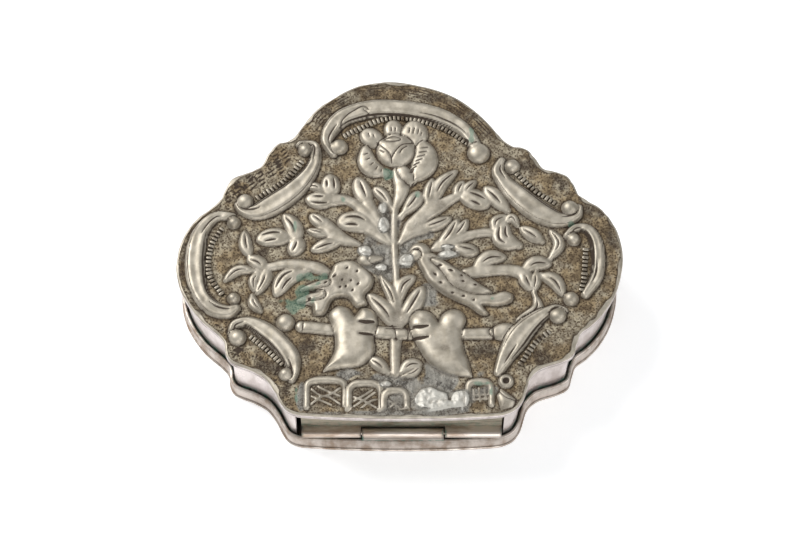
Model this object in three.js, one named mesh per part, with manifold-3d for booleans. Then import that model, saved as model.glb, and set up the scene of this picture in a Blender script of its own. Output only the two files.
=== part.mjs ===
import * as THREE from "three";
import { mergeVertices } from "three/addons/utils/BufferGeometryUtils.js";
import Module from "manifold-3d";

// Silver case with a shallow tray below and a deep hinged lid above.
// Millimetres, +Z up, origin under the middle of the plan, hinge along the front edge (-Y).

// Plan of the case
const CASE_WIDTH = 85.7;
const CASE_DEPTH = 71.8;

// Tray
const TRAY_SHEET = 0.6;
const TRAY_HEIGHT = 4.3;
const RIM_SHEET = 0.6;
const FOOT_STEP = 0.25;

// Lid
const LID_UNDERSIDE = 16.6;
const LID_SHEET = 0.6;
const WALL_SHEET = 0.6;
const WALL_GAP = 0.35;
const WALL_FOOT_CLEARANCE = 0.35;
const EDGE_BAND_HEIGHT = 1.4;
const SOLDER_GAP = 0.05;

// Hinge
const KNUCKLE_RADIUS = 0.9;
const BORE_RADIUS = 0.5;
const PIN_CLEARANCE = 0.15;
const KNUCKLE_CLEARANCE = 0.2;
const HINGE_OVERHANG = 0.35;
const RUNNING_CLEARANCE = 0.15;
const MIDDLE_KNUCKLE_LENGTH = 15.6;
const MIDDLE_KNUCKLE_SHIFT = 0.25;
const RECESS_SLOT = 1;
const RECESS_END_CLEARANCE = 0.3;
const BED_SHEET = 0.6;
const BED_STANDOFF = 0.2;
const BED_DROP = 0.9;

// Heights of the embossed ornament over the ground of the lid
const SCROLL_HEIGHT = 1.3;
const BALL_HEIGHT = 1.5;
const LEAF_HEIGHT = 0.8;
const BRANCH_HEIGHT = 0.7;
const ROSE_HEIGHT = 1.1;
const BIRD_HEIGHT = 1.3;
const HEART_HEIGHT = 1.5;
const ROD_HEIGHT = 0.9;
const ARCH_HEIGHT = 0.7;
const PATCH_HEIGHT = 0.6;
const BEAD_HEIGHT = 0.6;
const BEAD_HALF_WIDTH = 0.55;
const EMBOSS_ROOT = 0.3;
const ARCH_HALF_WIDTH = 0.55;
const SCROLL_FULLNESS = 1.25;
const BRANCH_FULLNESS = 1.2;
const TIP_HALF_WIDTH = 0.12;

// Plan outline, counter-clockwise from the left end of the front edge,
// as shares of the half width and the half depth
const FRONT_EDGE_SHARE = 0.46;
const OUTLINE_SHARES = [
  [-FRONT_EDGE_SHARE, -0.973], [-0.38, -0.985], [0, -1], [0.38, -0.986], [FRONT_EDGE_SHARE, -0.974],
  [0.51, -0.943], [0.541, -0.89], [0.557, -0.83], [0.575, -0.77], [0.615, -0.722], [0.72, -0.675],
  [0.765, -0.64], [0.782, -0.575], [0.8, -0.517], [0.85, -0.468], [0.905, -0.398], [0.955, -0.3],
  [0.987, -0.185], [1, -0.066], [0.986, 0.055], [0.952, 0.155], [0.905, 0.222], [0.85, 0.27],
  [0.812, 0.305], [0.788, 0.368], [0.763, 0.413], [0.72, 0.438], [0.652, 0.467], [0.617, 0.527],
  [0.58, 0.582], [0.515, 0.601], [0.478, 0.632], [0.43, 0.706], [0.35, 0.813], [0.25, 0.905],
  [0.11, 0.97], [-0.05, 1], [-0.18, 0.977], [-0.296, 0.905], [-0.377, 0.83], [-0.44, 0.735],
  [-0.498, 0.64], [-0.556, 0.614], [-0.596, 0.56], [-0.63, 0.478], [-0.695, 0.435], [-0.76, 0.398],
  [-0.79, 0.335], [-0.818, 0.262], [-0.917, 0.153], [-0.97, 0.05], [-1, -0.095], [-0.988, -0.22],
  [-0.952, -0.325], [-0.885, -0.437], [-0.8, -0.53], [-0.774, -0.572], [-0.768, -0.63],
  [-0.745, -0.678], [-0.65, -0.73], [-0.596, -0.77], [-0.555, -0.835], [-0.525, -0.905],
  [-0.5, -0.948],
];
const OUTLINE_STEPS = 2;

// Seven C-scrolls of the border: places with half widths, shares of the half width,
// the half depth and the half width
const SCROLL_SHARES = [
  [[-0.3, 0.546, 0.01], [-0.333, 0.62, 0.02], [-0.316, 0.692, 0.031], [-0.255, 0.79, 0.021],
    [-0.18, 0.835, 0.02], [-0.1, 0.828, 0.033], [0.04, 0.818, 0.033], [0.187, 0.774, 0.032],
    [0.297, 0.691, 0.026], [0.345, 0.595, 0.024]],
  [[-0.454, 0.6, 0.008], [-0.389, 0.597, 0.015], [-0.383, 0.52, 0.021], [-0.404, 0.44, 0.027],
    [-0.479, 0.324, 0.038], [-0.58, 0.232, 0.041], [-0.65, 0.19, 0.03], [-0.713, 0.203, 0.015],
    [-0.727, 0.238, 0.01]],
  [[-0.755, 0.164, 0.014], [-0.826, 0.164, 0.019], [-0.89, 0.083, 0.027], [-0.913, -0.03, 0.034],
    [-0.912, -0.17, 0.035], [-0.885, -0.295, 0.029], [-0.83, -0.375, 0.029], [-0.758, -0.397, 0.024],
    [-0.725, -0.377, 0.014]],
  [[-0.74, -0.531, 0.01], [-0.73, -0.475, 0.017], [-0.678, -0.454, 0.019], [-0.6, -0.5, 0.032],
    [-0.53, -0.575, 0.034], [-0.48, -0.66, 0.033], [-0.466, -0.74, 0.02], [-0.474, -0.781, 0.01]],
  [[0.726, -0.392, 0.01], [0.69, -0.378, 0.013], [0.62, -0.425, 0.025], [0.554, -0.496, 0.037],
    [0.51, -0.567, 0.04], [0.465, -0.66, 0.028], [0.432, -0.745, 0.012]],
  [[0.755, 0.049, 0.009], [0.79, 0.093, 0.014], [0.84, 0.093, 0.018], [0.877, 0.035, 0.021],
    [0.891, -0.07, 0.023], [0.878, -0.195, 0.021], [0.826, -0.296, 0.01]],
  [[0.464, 0.5, 0.012], [0.447, 0.44, 0.022], [0.48, 0.365, 0.03], [0.55, 0.273, 0.042],
    [0.638, 0.186, 0.041], [0.729, 0.144, 0.028], [0.799, 0.174, 0.018], [0.807, 0.215, 0.012]],
];

// Beaded strips inside the scrolls
const BEAD_SHARES = [
  [[-0.251, 0.656], [-0.181, 0.703], [-0.107, 0.746], [-0.027, 0.767], [0.053, 0.761],
    [0.132, 0.734], [0.212, 0.692], [0.306, 0.612]],
  [[-0.446, 0.494], [-0.488, 0.428], [-0.541, 0.364], [-0.642, 0.277]],
  [[-0.8, 0.089], [-0.838, 0.014], [-0.854, -0.089], [-0.845, -0.193], [-0.792, -0.291]],
  [[-0.656, -0.543], [-0.603, -0.595], [-0.553, -0.653], [-0.518, -0.695]],
  [[0.659, -0.514], [0.609, -0.56], [0.574, -0.615], [0.532, -0.695]],
  [[0.833, -0.032], [0.829, -0.101], [0.821, -0.204], [0.81, -0.268]],
  [[0.534, 0.421], [0.58, 0.361], [0.628, 0.307], [0.698, 0.248]],
];

// Balls at the scroll ends, at the end of the rod and on the right bird's head
const BALL_SHARES = [
  [-0.275, 0.588, 0.038], [0.36, 0.55, 0.05], [-0.432, 0.568, 0.03], [-0.698, 0.256, 0.036],
  [-0.746, 0.126, 0.029], [-0.738, -0.32, 0.028], [-0.715, -0.544, 0.037], [-0.501, -0.755, 0.029],
  [0.7, -0.42, 0.036], [0.465, -0.793, 0.033], [0.781, 0.026, 0.03], [0.761, -0.321, 0.034],
  [0.512, 0.468, 0.035], [0.768, 0.216, 0.037], [-0.506, -0.459, 0.04], [0.088, -0.03, 0.033],
];

// Leaves: foot, middle and tip of the mid line, half width, and fullness towards the tip
const LEAF_SHARES = [
  [-0.03, 0.205, -0.075, 0.29, -0.115, 0.34, 0.024, 1.3],
  [-0.14, 0.235, -0.168, 0.315, -0.192, 0.397, 0.035, 1.1],
  [-0.31, 0.295, -0.313, 0.35, -0.317, 0.41, 0.037, 1],
  [-0.285, 0.268, -0.355, 0.262, -0.417, 0.272, 0.037, 1.1],
  [-0.35, 0.318, -0.38, 0.345, -0.413, 0.347, 0.019, 1],
  [-0.12, 0.082, -0.195, 0.135, -0.27, 0.133, 0.045, 1.2],
  [-0.33, 0.106, -0.367, 0.14, -0.401, 0.175, 0.025, 1],
  [-0.32, 0.05, -0.37, 0.068, -0.416, 0.086, 0.017, 1],
  [-0.26, 0.016, -0.33, -0.004, -0.394, -0.035, 0.027, 1.1],
  [-0.46, 0.02, -0.477, 0.105, -0.523, 0.177, 0.033, 0.9],
  [-0.457, 0.03, -0.462, -0.01, -0.481, -0.056, 0.033, 1],
  [-0.495, 0.034, -0.565, 0.045, -0.635, 0.025, 0.04, 1.05],
  [-0.672, -0.068, -0.692, 0, -0.698, 0.083, 0.025, 0.9],
  [-0.6, -0.146, -0.632, -0.108, -0.678, -0.086, 0.029, 1],
  [-0.59, -0.148, -0.603, -0.215, -0.638, -0.298, 0.024, 0.8],
  [-0.62, -0.165, -0.652, -0.21, -0.648, -0.28, 0.018, 1],
  [-0.656, -0.3, -0.648, -0.35, -0.611, -0.401, 0.02, 1],
  [-0.633, -0.161, -0.722, -0.153, -0.784, -0.222, 0.021, 1.1],
  [-0.42, -0.163, -0.503, -0.198, -0.553, -0.304, 0.037, 1.1],
  [0.003, 0.163, 0.062, 0.25, 0.088, 0.307, 0.031, 1.3],
  [0.127, 0.235, 0.133, 0.31, 0.15, 0.398, 0.023, 1],
  [0.15, 0.25, 0.186, 0.36, 0.264, 0.448, 0.029, 0.8],
  [0.262, 0.29, 0.267, 0.33, 0.288, 0.377, 0.022, 1],
  [0.287, 0.298, 0.31, 0.34, 0.344, 0.381, 0.02, 1],
  [0.275, 0.297, 0.338, 0.272, 0.396, 0.235, 0.043, 1.1],
  [0.09, 0.09, 0.165, 0.118, 0.233, 0.159, 0.026, 1.1],
  [0.175, -0.014, 0.225, 0.055, 0.264, 0.155, 0.028, 0.95],
  [0.232, 0.03, 0.272, 0.08, 0.305, 0.15, 0.022, 1],
  [0.237, -0.007, 0.295, -0.03, 0.348, -0.046, 0.028, 1.2],
  [0.485, 0.202, 0.437, 0.278, 0.386, 0.342, 0.034, 1],
  [0.43, 0.075, 0.432, 0.135, 0.482, 0.17, 0.022, 1],
  [0.475, 0.13, 0.505, 0.158, 0.535, 0.1, 0.018, 1],
  [0.533, -0.004, 0.463, 0.035, 0.468, 0.142, 0.04, 1],
  [0.638, 0.016, 0.597, 0.056, 0.544, 0.1, 0.028, 1],
  [0.67, -0.09, 0.715, 0, 0.674, 0.089, 0.022, 1],
  [0.333, -0.145, 0.4, -0.08, 0.473, -0.076, 0.032, 1],
  [0.55, -0.16, 0.563, -0.215, 0.584, -0.268, 0.027, 0.9],
  [0.55, -0.155, 0.612, -0.11, 0.673, -0.118, 0.031, 1],
  [0.61, -0.16, 0.607, -0.215, 0.597, -0.275, 0.02, 1],
  [0.597, -0.283, 0.61, -0.375, 0.513, -0.451, 0.022, 1.3],
  [0.63, -0.18, 0.69, -0.215, 0.729, -0.306, 0.029, 1],
  [-0.018, -0.487, -0.063, -0.39, -0.142, -0.293, 0.024, 0.9],
  [-0.012, -0.4, -0.035, -0.3, -0.089, -0.178, 0.018, 1],
  [-0.002, -0.345, 0.01, -0.245, 0.067, -0.189, 0.019, 1],
  [-0.003, -0.482, 0.06, -0.345, 0.106, -0.238, 0.027, 1.1],
  [-0.052, -0.745, -0.09, -0.7, -0.131, -0.664, 0.025, 1],
  [0.006, -0.745, 0.045, -0.7, 0.095, -0.695, 0.025, 1],
];
const STALK_SHARE = 0.3;
const LEAF_STEPS = 4;

// Stem, branches and the loops that carry the leaves
const BRANCH_SHARES = [
  [[0, 0.43, 0.024], [0.01, 0.35, 0.024], [0, 0.28, 0.018], [-0.02, 0.21, 0.011],
    [-0.025, 0.1, 0.01], [-0.023, -0.05, 0.01], [-0.016, -0.2, 0.01], [-0.011, -0.36, 0.014],
    [-0.01, -0.48, 0.018], [-0.02, -0.6, 0.016], [-0.02, -0.75, 0.013]],
  [[-0.035, 0.005, 0.007], [-0.085, 0.115, 0.012], [-0.142, 0.245, 0.019]],
  [[-0.075, 0.065, 0.009], [-0.145, 0.18, 0.017], [-0.235, 0.264, 0.016], [-0.3, 0.267, 0.022]],
  [[-0.05, 0.004, 0.008], [-0.087, 0.044, 0.016], [-0.135, 0.095, 0.024]],
  [[-0.183, 0.001, 0.008], [-0.255, 0.031, 0.02], [-0.3, 0.066, 0.026], [-0.342, 0.118, 0.024]],
  [[-0.32, -0.167, 0.012], [-0.363, -0.143, 0.019], [-0.416, -0.124, 0.017], [-0.475, -0.117, 0.016],
    [-0.533, -0.121, 0.015], [-0.6, -0.14, 0.013]],
  [[0, 0.008, 0.007], [0.034, 0.065, 0.018], [0.06, 0.106, 0.027], [0.12, 0.193, 0.024],
    [0.152, 0.255, 0.022]],
  [[0.12, 0.172, 0.018], [0.172, 0.219, 0.02], [0.224, 0.264, 0.017], [0.28, 0.301, 0.012]],
  [[0.013, 0.024, 0.008], [0.055, 0.068, 0.017], [0.105, 0.096, 0.022]],
  [[0.15, -0.028, 0.007], [0.185, -0.006, 0.02], [0.245, 0.025, 0.018], [0.336, 0.063, 0.014],
    [0.4, 0.072, 0.014], [0.437, 0.06, 0.012]],
  [[0.3, -0.17, 0.018], [0.353, -0.159, 0.02], [0.411, -0.154, 0.018], [0.47, -0.15, 0.017],
    [0.525, -0.16, 0.02], [0.56, -0.182, 0.022]],
];

// Rose at the top of the stem: petals like leaves, and the closed bud as a low dome
const PETAL_SHARES = [
  [-0.027, 0.63, -0.029, 0.69, -0.031, 0.737, 0.037, 1.1],
  [0.055, 0.6, 0.068, 0.66, 0.065, 0.738, 0.053, 1],
  [-0.09, 0.605, -0.125, 0.642, -0.162, 0.677, 0.04, 1.1],
  [-0.065, 0.425, -0.14, 0.475, -0.158, 0.592, 0.038, 1],
  [0.05, 0.38, 0.112, 0.48, 0.113, 0.613, 0.05, 1.2],
  [0.05, 0.375, 0.025, 0.425, 0, 0.48, 0.024, 1],
];
const BUD_SHARES = [-0.018, 0.562, 0.086, 0.082];

// Two birds: bodies, wing, tails and legs as tapering strokes
const BIRD_SHARES = [
  [[0.112, -0.11, 0.022], [0.137, -0.158, 0.036], [0.172, -0.217, 0.051], [0.224, -0.28, 0.05],
    [0.282, -0.318, 0.038], [0.344, -0.34, 0.032], [0.42, -0.328, 0.03], [0.522, -0.314, 0.027],
    [0.556, -0.308, 0.012]],
  [[0.334, -0.352, 0.024], [0.375, -0.39, 0.02], [0.402, -0.432, 0.011], [0.412, -0.483, 0.005]],
  [[-0.117, -0.122, 0.02], [-0.137, -0.164, 0.036], [-0.171, -0.199, 0.056], [-0.221, -0.207, 0.076],
    [-0.273, -0.219, 0.06], [-0.321, -0.238, 0.038], [-0.366, -0.259, 0.02], [-0.405, -0.274, 0.006]],
  [[-0.286, -0.283, 0.036], [-0.341, -0.306, 0.028], [-0.39, -0.32, 0.02], [-0.442, -0.327, 0.006]],
  [[-0.3, -0.294, 0.022], [-0.332, -0.341, 0.022], [-0.358, -0.383, 0.023], [-0.369, -0.421, 0.015]],
  [[-0.245, -0.294, 0.023], [-0.22, -0.329, 0.02], [-0.193, -0.374, 0.006]],
  [[-0.152, -0.104, 0.022], [-0.107, -0.09, 0.03], [-0.067, -0.104, 0.022]],
];
const WING_SHARES = [
  [[0.155, -0.113, 0.017], [0.202, -0.155, 0.037], [0.257, -0.196, 0.042], [0.307, -0.238, 0.038],
    [0.353, -0.259, 0.029], [0.441, -0.285, 0.006]],
];

// Rod through the hearts, with its pointed end and the wraps at the crossing
const ROD_SHARES = [
  [[-0.435, -0.481, 0.026], [-0.28, -0.501, 0.027]],
  [[-0.176, -0.5, 0.029], [-0.027, -0.52, 0.027], [0.122, -0.53, 0.025]],
  [[0.282, -0.524, 0.025], [0.4, -0.521, 0.027]],
  [[0.416, -0.515, 0.02], [0.461, -0.511, 0.042], [0.512, -0.484, 0.006]],
];

// Hearts, each as two sides that meet at the notch and at the tip
const HEART_SHARES = [
  [
    [[-0.337, -0.74], [-0.26, -0.722], [-0.17, -0.705], [-0.112, -0.63], [-0.115, -0.55],
      [-0.1, -0.46], [-0.115, -0.395], [-0.165, -0.375], [-0.2, -0.425]],
    [[-0.2, -0.425], [-0.225, -0.38], [-0.275, -0.365], [-0.312, -0.41], [-0.29, -0.51],
      [-0.286, -0.615], [-0.337, -0.74]],
  ],
  [
    [[0.318, -0.772], [0.303, -0.69], [0.282, -0.61], [0.272, -0.52], [0.292, -0.44],
      [0.27, -0.392], [0.225, -0.385], [0.188, -0.415], [0.172, -0.461]],
    [[0.172, -0.461], [0.14, -0.405], [0.09, -0.388], [0.048, -0.43], [0.047, -0.5],
      [0.082, -0.6], [0.13, -0.69], [0.21, -0.752], [0.318, -0.772]],
  ],
];
const HEART_STEPS = 12;
const HEART_SHOULDER_SHARE = 0.18;

// Arcade along the front: left leg, right leg, foot, spring and crown of each arch
const ARCH_SHARES = [
  [-0.407, -0.238, -0.935, -0.855, -0.785],
  [-0.222, -0.082, -0.955, -0.885, -0.81],
  [0.298, 0.4, -0.92, -0.85, -0.79],
];
const ARCH_STEPS = 6;

// Old solder repairs over the ornament: centre, half length and half width
const PATCH_SHARES = [
  [0.125, -0.883, 0.067, 0.042], [0.244, -0.918, 0.031, 0.042],
  [-0.129, -0.104, 0.045, 0.031], [0.063, -0.11, 0.05, 0.033],
];

// Cross-sections of the embossed strokes and domes
const SHOULDER_SHARE = 0.5;
const TIP_CREST_SHARE = 0.5;
const DOME_PROFILE_SHARES = [[1, 0], [0.86, 0.55], [0.5, 0.88], [0, 1]];
const DOME_SIDES = 10;
const KNUCKLE_SIDES = 20;

// Half-round outside of the edge band: depth in from the plan edge as a share of the
// foot step, height as a share of the band
const BAND_PROFILE_SHARES = [[1.6, 0], [0.6, 0.15], [0, 0.5], [0.2, 0.85], [0.8, 1]];

// Rolled edge of the lid plate: depth in as a share of the foot step, height as a share of the sheet
const PLATE_EDGE_SHARES = [[0.6, 0], [0.1, 0.3], [0.3, 0.7], [1.6, 1]];

// Hollow of the hinge bed: how deep it lies between the wall face and the standoff behind
// the knuckles, and how far down from the top of the recess to the hinge axis
const BED_SHARES = [[0, 0], [0.4, 0.25], [0.85, 0.6], [1, 0.8]];

// Derived planes and places
const GROUND_Z = LID_UNDERSIDE + LID_SHEET;
const BAND_FOOT_Z = LID_UNDERSIDE - EDGE_BAND_HEIGHT;
const RIM_INNER = FOOT_STEP + RIM_SHEET;
const WALL_OUTER = RIM_INNER + WALL_GAP;
const WALL_INNER = WALL_OUTER + WALL_SHEET;
const WALL_FOOT_Z = TRAY_SHEET + WALL_FOOT_CLEARANCE;
const HINGE_Z = TRAY_HEIGHT + RUNNING_CLEARANCE + KNUCKLE_RADIUS;
const HALF_WIDTH = CASE_WIDTH / 2;
const HALF_DEPTH = CASE_DEPTH / 2;
const FRONT_EDGE_END = FRONT_EDGE_SHARE * HALF_WIDTH;
const HINGE_LEFT = -FRONT_EDGE_END + RECESS_SLOT;
const HINGE_RIGHT = FRONT_EDGE_END - RECESS_END_CLEARANCE;
const MIDDLE_KNUCKLE = (HINGE_LEFT + HINGE_RIGHT) / 2 + MIDDLE_KNUCKLE_SHIFT;
const MIDDLE_LEFT = MIDDLE_KNUCKLE - MIDDLE_KNUCKLE_LENGTH / 2;
const MIDDLE_RIGHT = MIDDLE_KNUCKLE + MIDDLE_KNUCKLE_LENGTH / 2;

const wasm = await Module();
wasm.setup();

const WELD_TOLERANCE = 1e-4;

const silver = (color, roughness) => new THREE.MeshStandardMaterial({ color, roughness, metalness: 1 });
const WORN_SILVER = silver(0xb9b1a4, 0.34);
const PLAIN_SILVER = silver(0xc8bebb, 0.28);
const TRAY_SILVER = silver(0xbcae9f, 0.36);
const HINGE_SILVER = silver(0xaea698, 0.4);
const RECESS_SILVER = silver(0x8a8073, 0.5);

// Turns a closed geometry into a solid that can be joined and cut
function toSolid(geometry) {
  const bare = new THREE.BufferGeometry();
  bare.setAttribute("position", geometry.getAttribute("position").clone());
  if (geometry.index) bare.setIndex(geometry.index.clone());
  const merged = mergeVertices(bare, WELD_TOLERANCE);
  const index = merged.index.array;
  const kept = [];
  for (let i = 0; i < index.length; i += 3) {
    const [a, b, c] = [index[i], index[i + 1], index[i + 2]];
    if (a !== b && b !== c && a !== c) kept.push(a, b, c);
  }
  const solid = new wasm.Manifold(
    new wasm.Mesh({
      numProp: 3,
      vertProperties: Float32Array.from(merged.getAttribute("position").array),
      triVerts: Uint32Array.from(kept),
    }),
  );
  return solid;
}

// Turns a joined or cut solid back into a geometry
function toGeometry(solid) {
  const mesh = solid.getMesh();
  const geometry = new THREE.BufferGeometry();
  geometry.setAttribute("position", new THREE.BufferAttribute(Float32Array.from(mesh.vertProperties), 3));
  geometry.setIndex(new THREE.BufferAttribute(Uint32Array.from(mesh.triVerts), 1));
  geometry.computeVertexNormals();
  return geometry;
}

// Geometry from points and triangles, with its faces turned outward
function closedGeometry(points, triangles) {
  const flat = triangles.flat();
  let volume = 0;
  for (const [a, b, c] of triangles) {
    volume += points[a].dot(points[b].clone().cross(points[c]));
  }
  if (volume < 0) flat.reverse();
  const geometry = new THREE.BufferGeometry();
  geometry.setAttribute("position", new THREE.Float32BufferAttribute(points.flatMap((p) => p.toArray()), 3));
  geometry.setIndex(flat);
  geometry.computeVertexNormals();
  return geometry;
}

const place = (u, v) => new THREE.Vector2(u * HALF_WIDTH, v * HALF_DEPTH);

// Smooth line through places, closed or open, sampled evenly between its points
function smoothLine(places, steps, closed) {
  const curve = new THREE.CatmullRomCurve3(
    places.map((p) => new THREE.Vector3(p.x, p.y, 0)),
    closed,
    "centripetal",
  );
  const points = curve.getPoints(steps);
  if (closed) points.pop();
  return points.map((p) => new THREE.Vector2(p.x, p.y));
}

// Loop moved inward by a depth, point by point along its own normals
function insetLoop(loop, depth) {
  return loop.map((point, i) => {
    const before = loop[(i + loop.length - 1) % loop.length];
    const after = loop[(i + 1) % loop.length];
    const along = after.clone().sub(before).normalize();
    return new THREE.Vector2(point.x - along.y * depth, point.y + along.x * depth);
  });
}

// Band swept round a loop: the profile lists depth in from the loop and height, and closes on itself
function ringGeometry(loop, profile) {
  const atHeight = (level, z) => level.map((p) => new THREE.Vector3(p.x, p.y, z));
  const rings = profile.map(([depth, z]) => atHeight(insetLoop(loop, depth), z));
  const count = loop.length;
  const triangles = [];
  for (let j = 0; j < rings.length; j++) {
    const next = (j + 1) % rings.length;
    for (let i = 0; i < count; i++) {
      const after = (i + 1) % count;
      triangles.push([j * count + i, j * count + after, next * count + after]);
      triangles.push([j * count + i, next * count + after, next * count + i]);
    }
  }
  return closedGeometry(rings.flat(), triangles);
}

// Sheet or boss: loops of equal count stacked from the bottom up and closed by flat faces
function stackGeometry(levels) {
  const count = levels[0][0].length;
  const triangles = [];
  for (let j = 0; j + 1 < levels.length; j++) {
    for (let i = 0; i < count; i++) {
      const after = (i + 1) % count;
      triangles.push([j * count + i, j * count + after, (j + 1) * count + after]);
      triangles.push([j * count + i, (j + 1) * count + after, (j + 1) * count + i]);
    }
  }
  const top = (levels.length - 1) * count;
  for (const [a, b, c] of THREE.ShapeUtils.triangulateShape(levels[0][0], [])) triangles.push([a, c, b]);
  for (const [a, b, c] of THREE.ShapeUtils.triangulateShape(levels.at(-1)[0], [])) {
    triangles.push([top + a, top + b, top + c]);
  }
  const points = levels.flatMap(([loop, z]) => loop.map((p) => new THREE.Vector3(p.x, p.y, z)));
  return closedGeometry(points, triangles);
}

// Embossed stroke: a low ridge along a centre line with its own half width and crest at each place
function strokeGeometry(centres, halfWidths, crests) {
  const points = [];
  centres.forEach((centre, i) => {
    const before = centres[Math.max(i - 1, 0)];
    const after = centres[Math.min(i + 1, centres.length - 1)];
    const along = after.clone().sub(before).normalize();
    const side = new THREE.Vector2(-along.y, along.x);
    const half = Math.max(halfWidths[i], TIP_HALF_WIDTH);
    const root = GROUND_Z - EMBOSS_ROOT;
    const crest = GROUND_Z + crests[i];
    const shoulder = half * SHOULDER_SHARE;
    const section = [[half, root], [shoulder, crest], [-shoulder, crest], [-half, root]];
    for (const [offset, z] of section) {
      points.push(new THREE.Vector3(centre.x + side.x * offset, centre.y + side.y * offset, z));
    }
  });
  const triangles = [];
  for (let i = 0; i + 1 < centres.length; i++) {
    for (let j = 0; j < 4; j++) {
      const [a, b] = [i * 4 + j, i * 4 + ((j + 1) % 4)];
      triangles.push([a, b, b + 4], [a, b + 4, a + 4]);
    }
  }
  const last = (centres.length - 1) * 4;
  triangles.push([0, 2, 1], [0, 3, 2], [last, last + 1, last + 2], [last, last + 2, last + 3]);
  return closedGeometry(points, triangles);
}

// Rows of a stroke with their half widths made fuller
function fuller(rows, factor) {
  return rows.map(([u, v, half]) => [u, v, half * factor]);
}

// Stroke through places with half widths, smoothed by a number of steps per span
function taperedStroke(rows, height, stepsPerSpan) {
  const steps = (rows.length - 1) * stepsPerSpan;
  const centres = smoothLine(rows.map(([u, v]) => place(u, v)), steps, false);
  const halfWidths = centres.map((_, i) => {
    const span = Math.min(Math.floor(i / stepsPerSpan), rows.length - 2);
    const within = i / stepsPerSpan - span;
    return THREE.MathUtils.lerp(rows[span][2], rows[span + 1][2], within) * HALF_WIDTH;
  });
  const widest = Math.max(...halfWidths);
  const crests = halfWidths.map((half) => height * THREE.MathUtils.lerp(TIP_CREST_SHARE, 1, half / widest));
  return strokeGeometry(centres, halfWidths, crests);
}

// Beaded strip of even width through places
function beadStrip(places) {
  const centres = smoothLine(places.map(([u, v]) => place(u, v)), places.length, false);
  return strokeGeometry(centres, centres.map(() => BEAD_HALF_WIDTH), centres.map(() => BEAD_HEIGHT));
}

// Leaf or petal from foot, middle and tip, fullest towards the tip when its fullness is over 1
function leafGeometry([footU, footV, middleU, middleV, tipU, tipV, halfShare, fullness], height) {
  const line = [place(footU, footV), place(middleU, middleV), place(tipU, tipV)];
  const centres = smoothLine(line, LEAF_STEPS, false);
  const swells = centres.map((_, i) => {
    return i < LEAF_STEPS ? Math.sqrt(Math.sin(Math.PI * (i / LEAF_STEPS) ** fullness)) : 0;
  });
  const halfWidths = swells.map((swell, i) => {
    return halfShare * HALF_WIDTH * Math.max(swell, STALK_SHARE * (1 - i / LEAF_STEPS));
  });
  const crests = swells.map((swell) => height * THREE.MathUtils.lerp(TIP_CREST_SHARE, 1, swell));
  return strokeGeometry(centres, halfWidths, crests);
}

// Low dome with a round or oval foot
function domeGeometry([u, v, halfLength, halfBreadth = halfLength], height) {
  const profile = [new THREE.Vector2(0, -EMBOSS_ROOT), new THREE.Vector2(1, -EMBOSS_ROOT)];
  for (const [r, h] of DOME_PROFILE_SHARES) profile.push(new THREE.Vector2(r, h * height));
  const geometry = new THREE.LatheGeometry(profile, DOME_SIDES);
  geometry.rotateX(Math.PI / 2);
  geometry.scale(halfLength * HALF_WIDTH, halfBreadth * HALF_WIDTH, 1);
  const at = place(u, v);
  geometry.translate(at.x, at.y, GROUND_Z);
  return geometry;
}

// Heart from its two sides, with a sloping shoulder: the top is the foot drawn in towards its middle
function heartGeometry(sides) {
  const foot = sides.flatMap((side) => {
    const line = smoothLine(side.map(([u, v]) => place(u, v)), HEART_STEPS, false);
    line.pop();
    return line;
  });
  const middle = new THREE.Vector2();
  for (const point of foot) middle.addScaledVector(point, 1 / foot.length);
  const top = foot.map((point) => point.clone().lerp(middle, HEART_SHOULDER_SHARE));
  const shoulderZ = GROUND_Z + HEART_HEIGHT * SHOULDER_SHARE;
  return stackGeometry([
    [foot, GROUND_Z - EMBOSS_ROOT],
    [foot, shoulderZ],
    [top, GROUND_Z + HEART_HEIGHT],
  ]);
}

// Arch of the arcade: two legs joined by half an ellipse
function archGeometry([left, right, foot, spring, crown]) {
  const middle = (left + right) / 2;
  const centres = [place(left, foot)];
  for (let i = 0; i <= ARCH_STEPS; i++) {
    const angle = Math.PI * (1 - i / ARCH_STEPS);
    const u = middle + ((right - left) / 2) * Math.cos(angle);
    centres.push(place(u, spring + (crown - spring) * Math.sin(angle)));
  }
  centres.push(place(right, foot));
  return strokeGeometry(centres, centres.map(() => ARCH_HALF_WIDTH), centres.map(() => ARCH_HEIGHT));
}

// Lid plate: flat sheet with a rolled edge and the whole embossed ornament on it
function lidPlate(loop) {
  const levels = PLATE_EDGE_SHARES.map(([depth, height]) => [
    insetLoop(loop, depth * FOOT_STEP),
    LID_UNDERSIDE + height * LID_SHEET,
  ]);
  const ornament = [
    ...SCROLL_SHARES.map((rows) => taperedStroke(fuller(rows, SCROLL_FULLNESS), SCROLL_HEIGHT, 2)),
    ...BEAD_SHARES.map(beadStrip),
    ...BALL_SHARES.map((ball) => domeGeometry(ball, BALL_HEIGHT)),
    ...LEAF_SHARES.map((leaf) => leafGeometry(leaf, LEAF_HEIGHT)),
    ...BRANCH_SHARES.map((rows) => taperedStroke(fuller(rows, BRANCH_FULLNESS), BRANCH_HEIGHT, 1)),
    ...PETAL_SHARES.map((petal) => leafGeometry(petal, LEAF_HEIGHT)),
    domeGeometry(BUD_SHARES, ROSE_HEIGHT),
    ...BIRD_SHARES.map((rows) => taperedStroke(rows, BIRD_HEIGHT, 1)),
    ...WING_SHARES.map((rows) => taperedStroke(rows, BIRD_HEIGHT, 1)),
    ...ROD_SHARES.map((rows) => taperedStroke(rows, ROD_HEIGHT, 1)),
    ...HEART_SHARES.map(heartGeometry),
    ...ARCH_SHARES.map(archGeometry),
    ...PATCH_SHARES.map((patch) => domeGeometry(patch, PATCH_HEIGHT)),
  ];
  let plate = toSolid(stackGeometry(levels));
  for (const form of ornament) plate = plate.add(toSolid(form));
  return toGeometry(plate);
}

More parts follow.
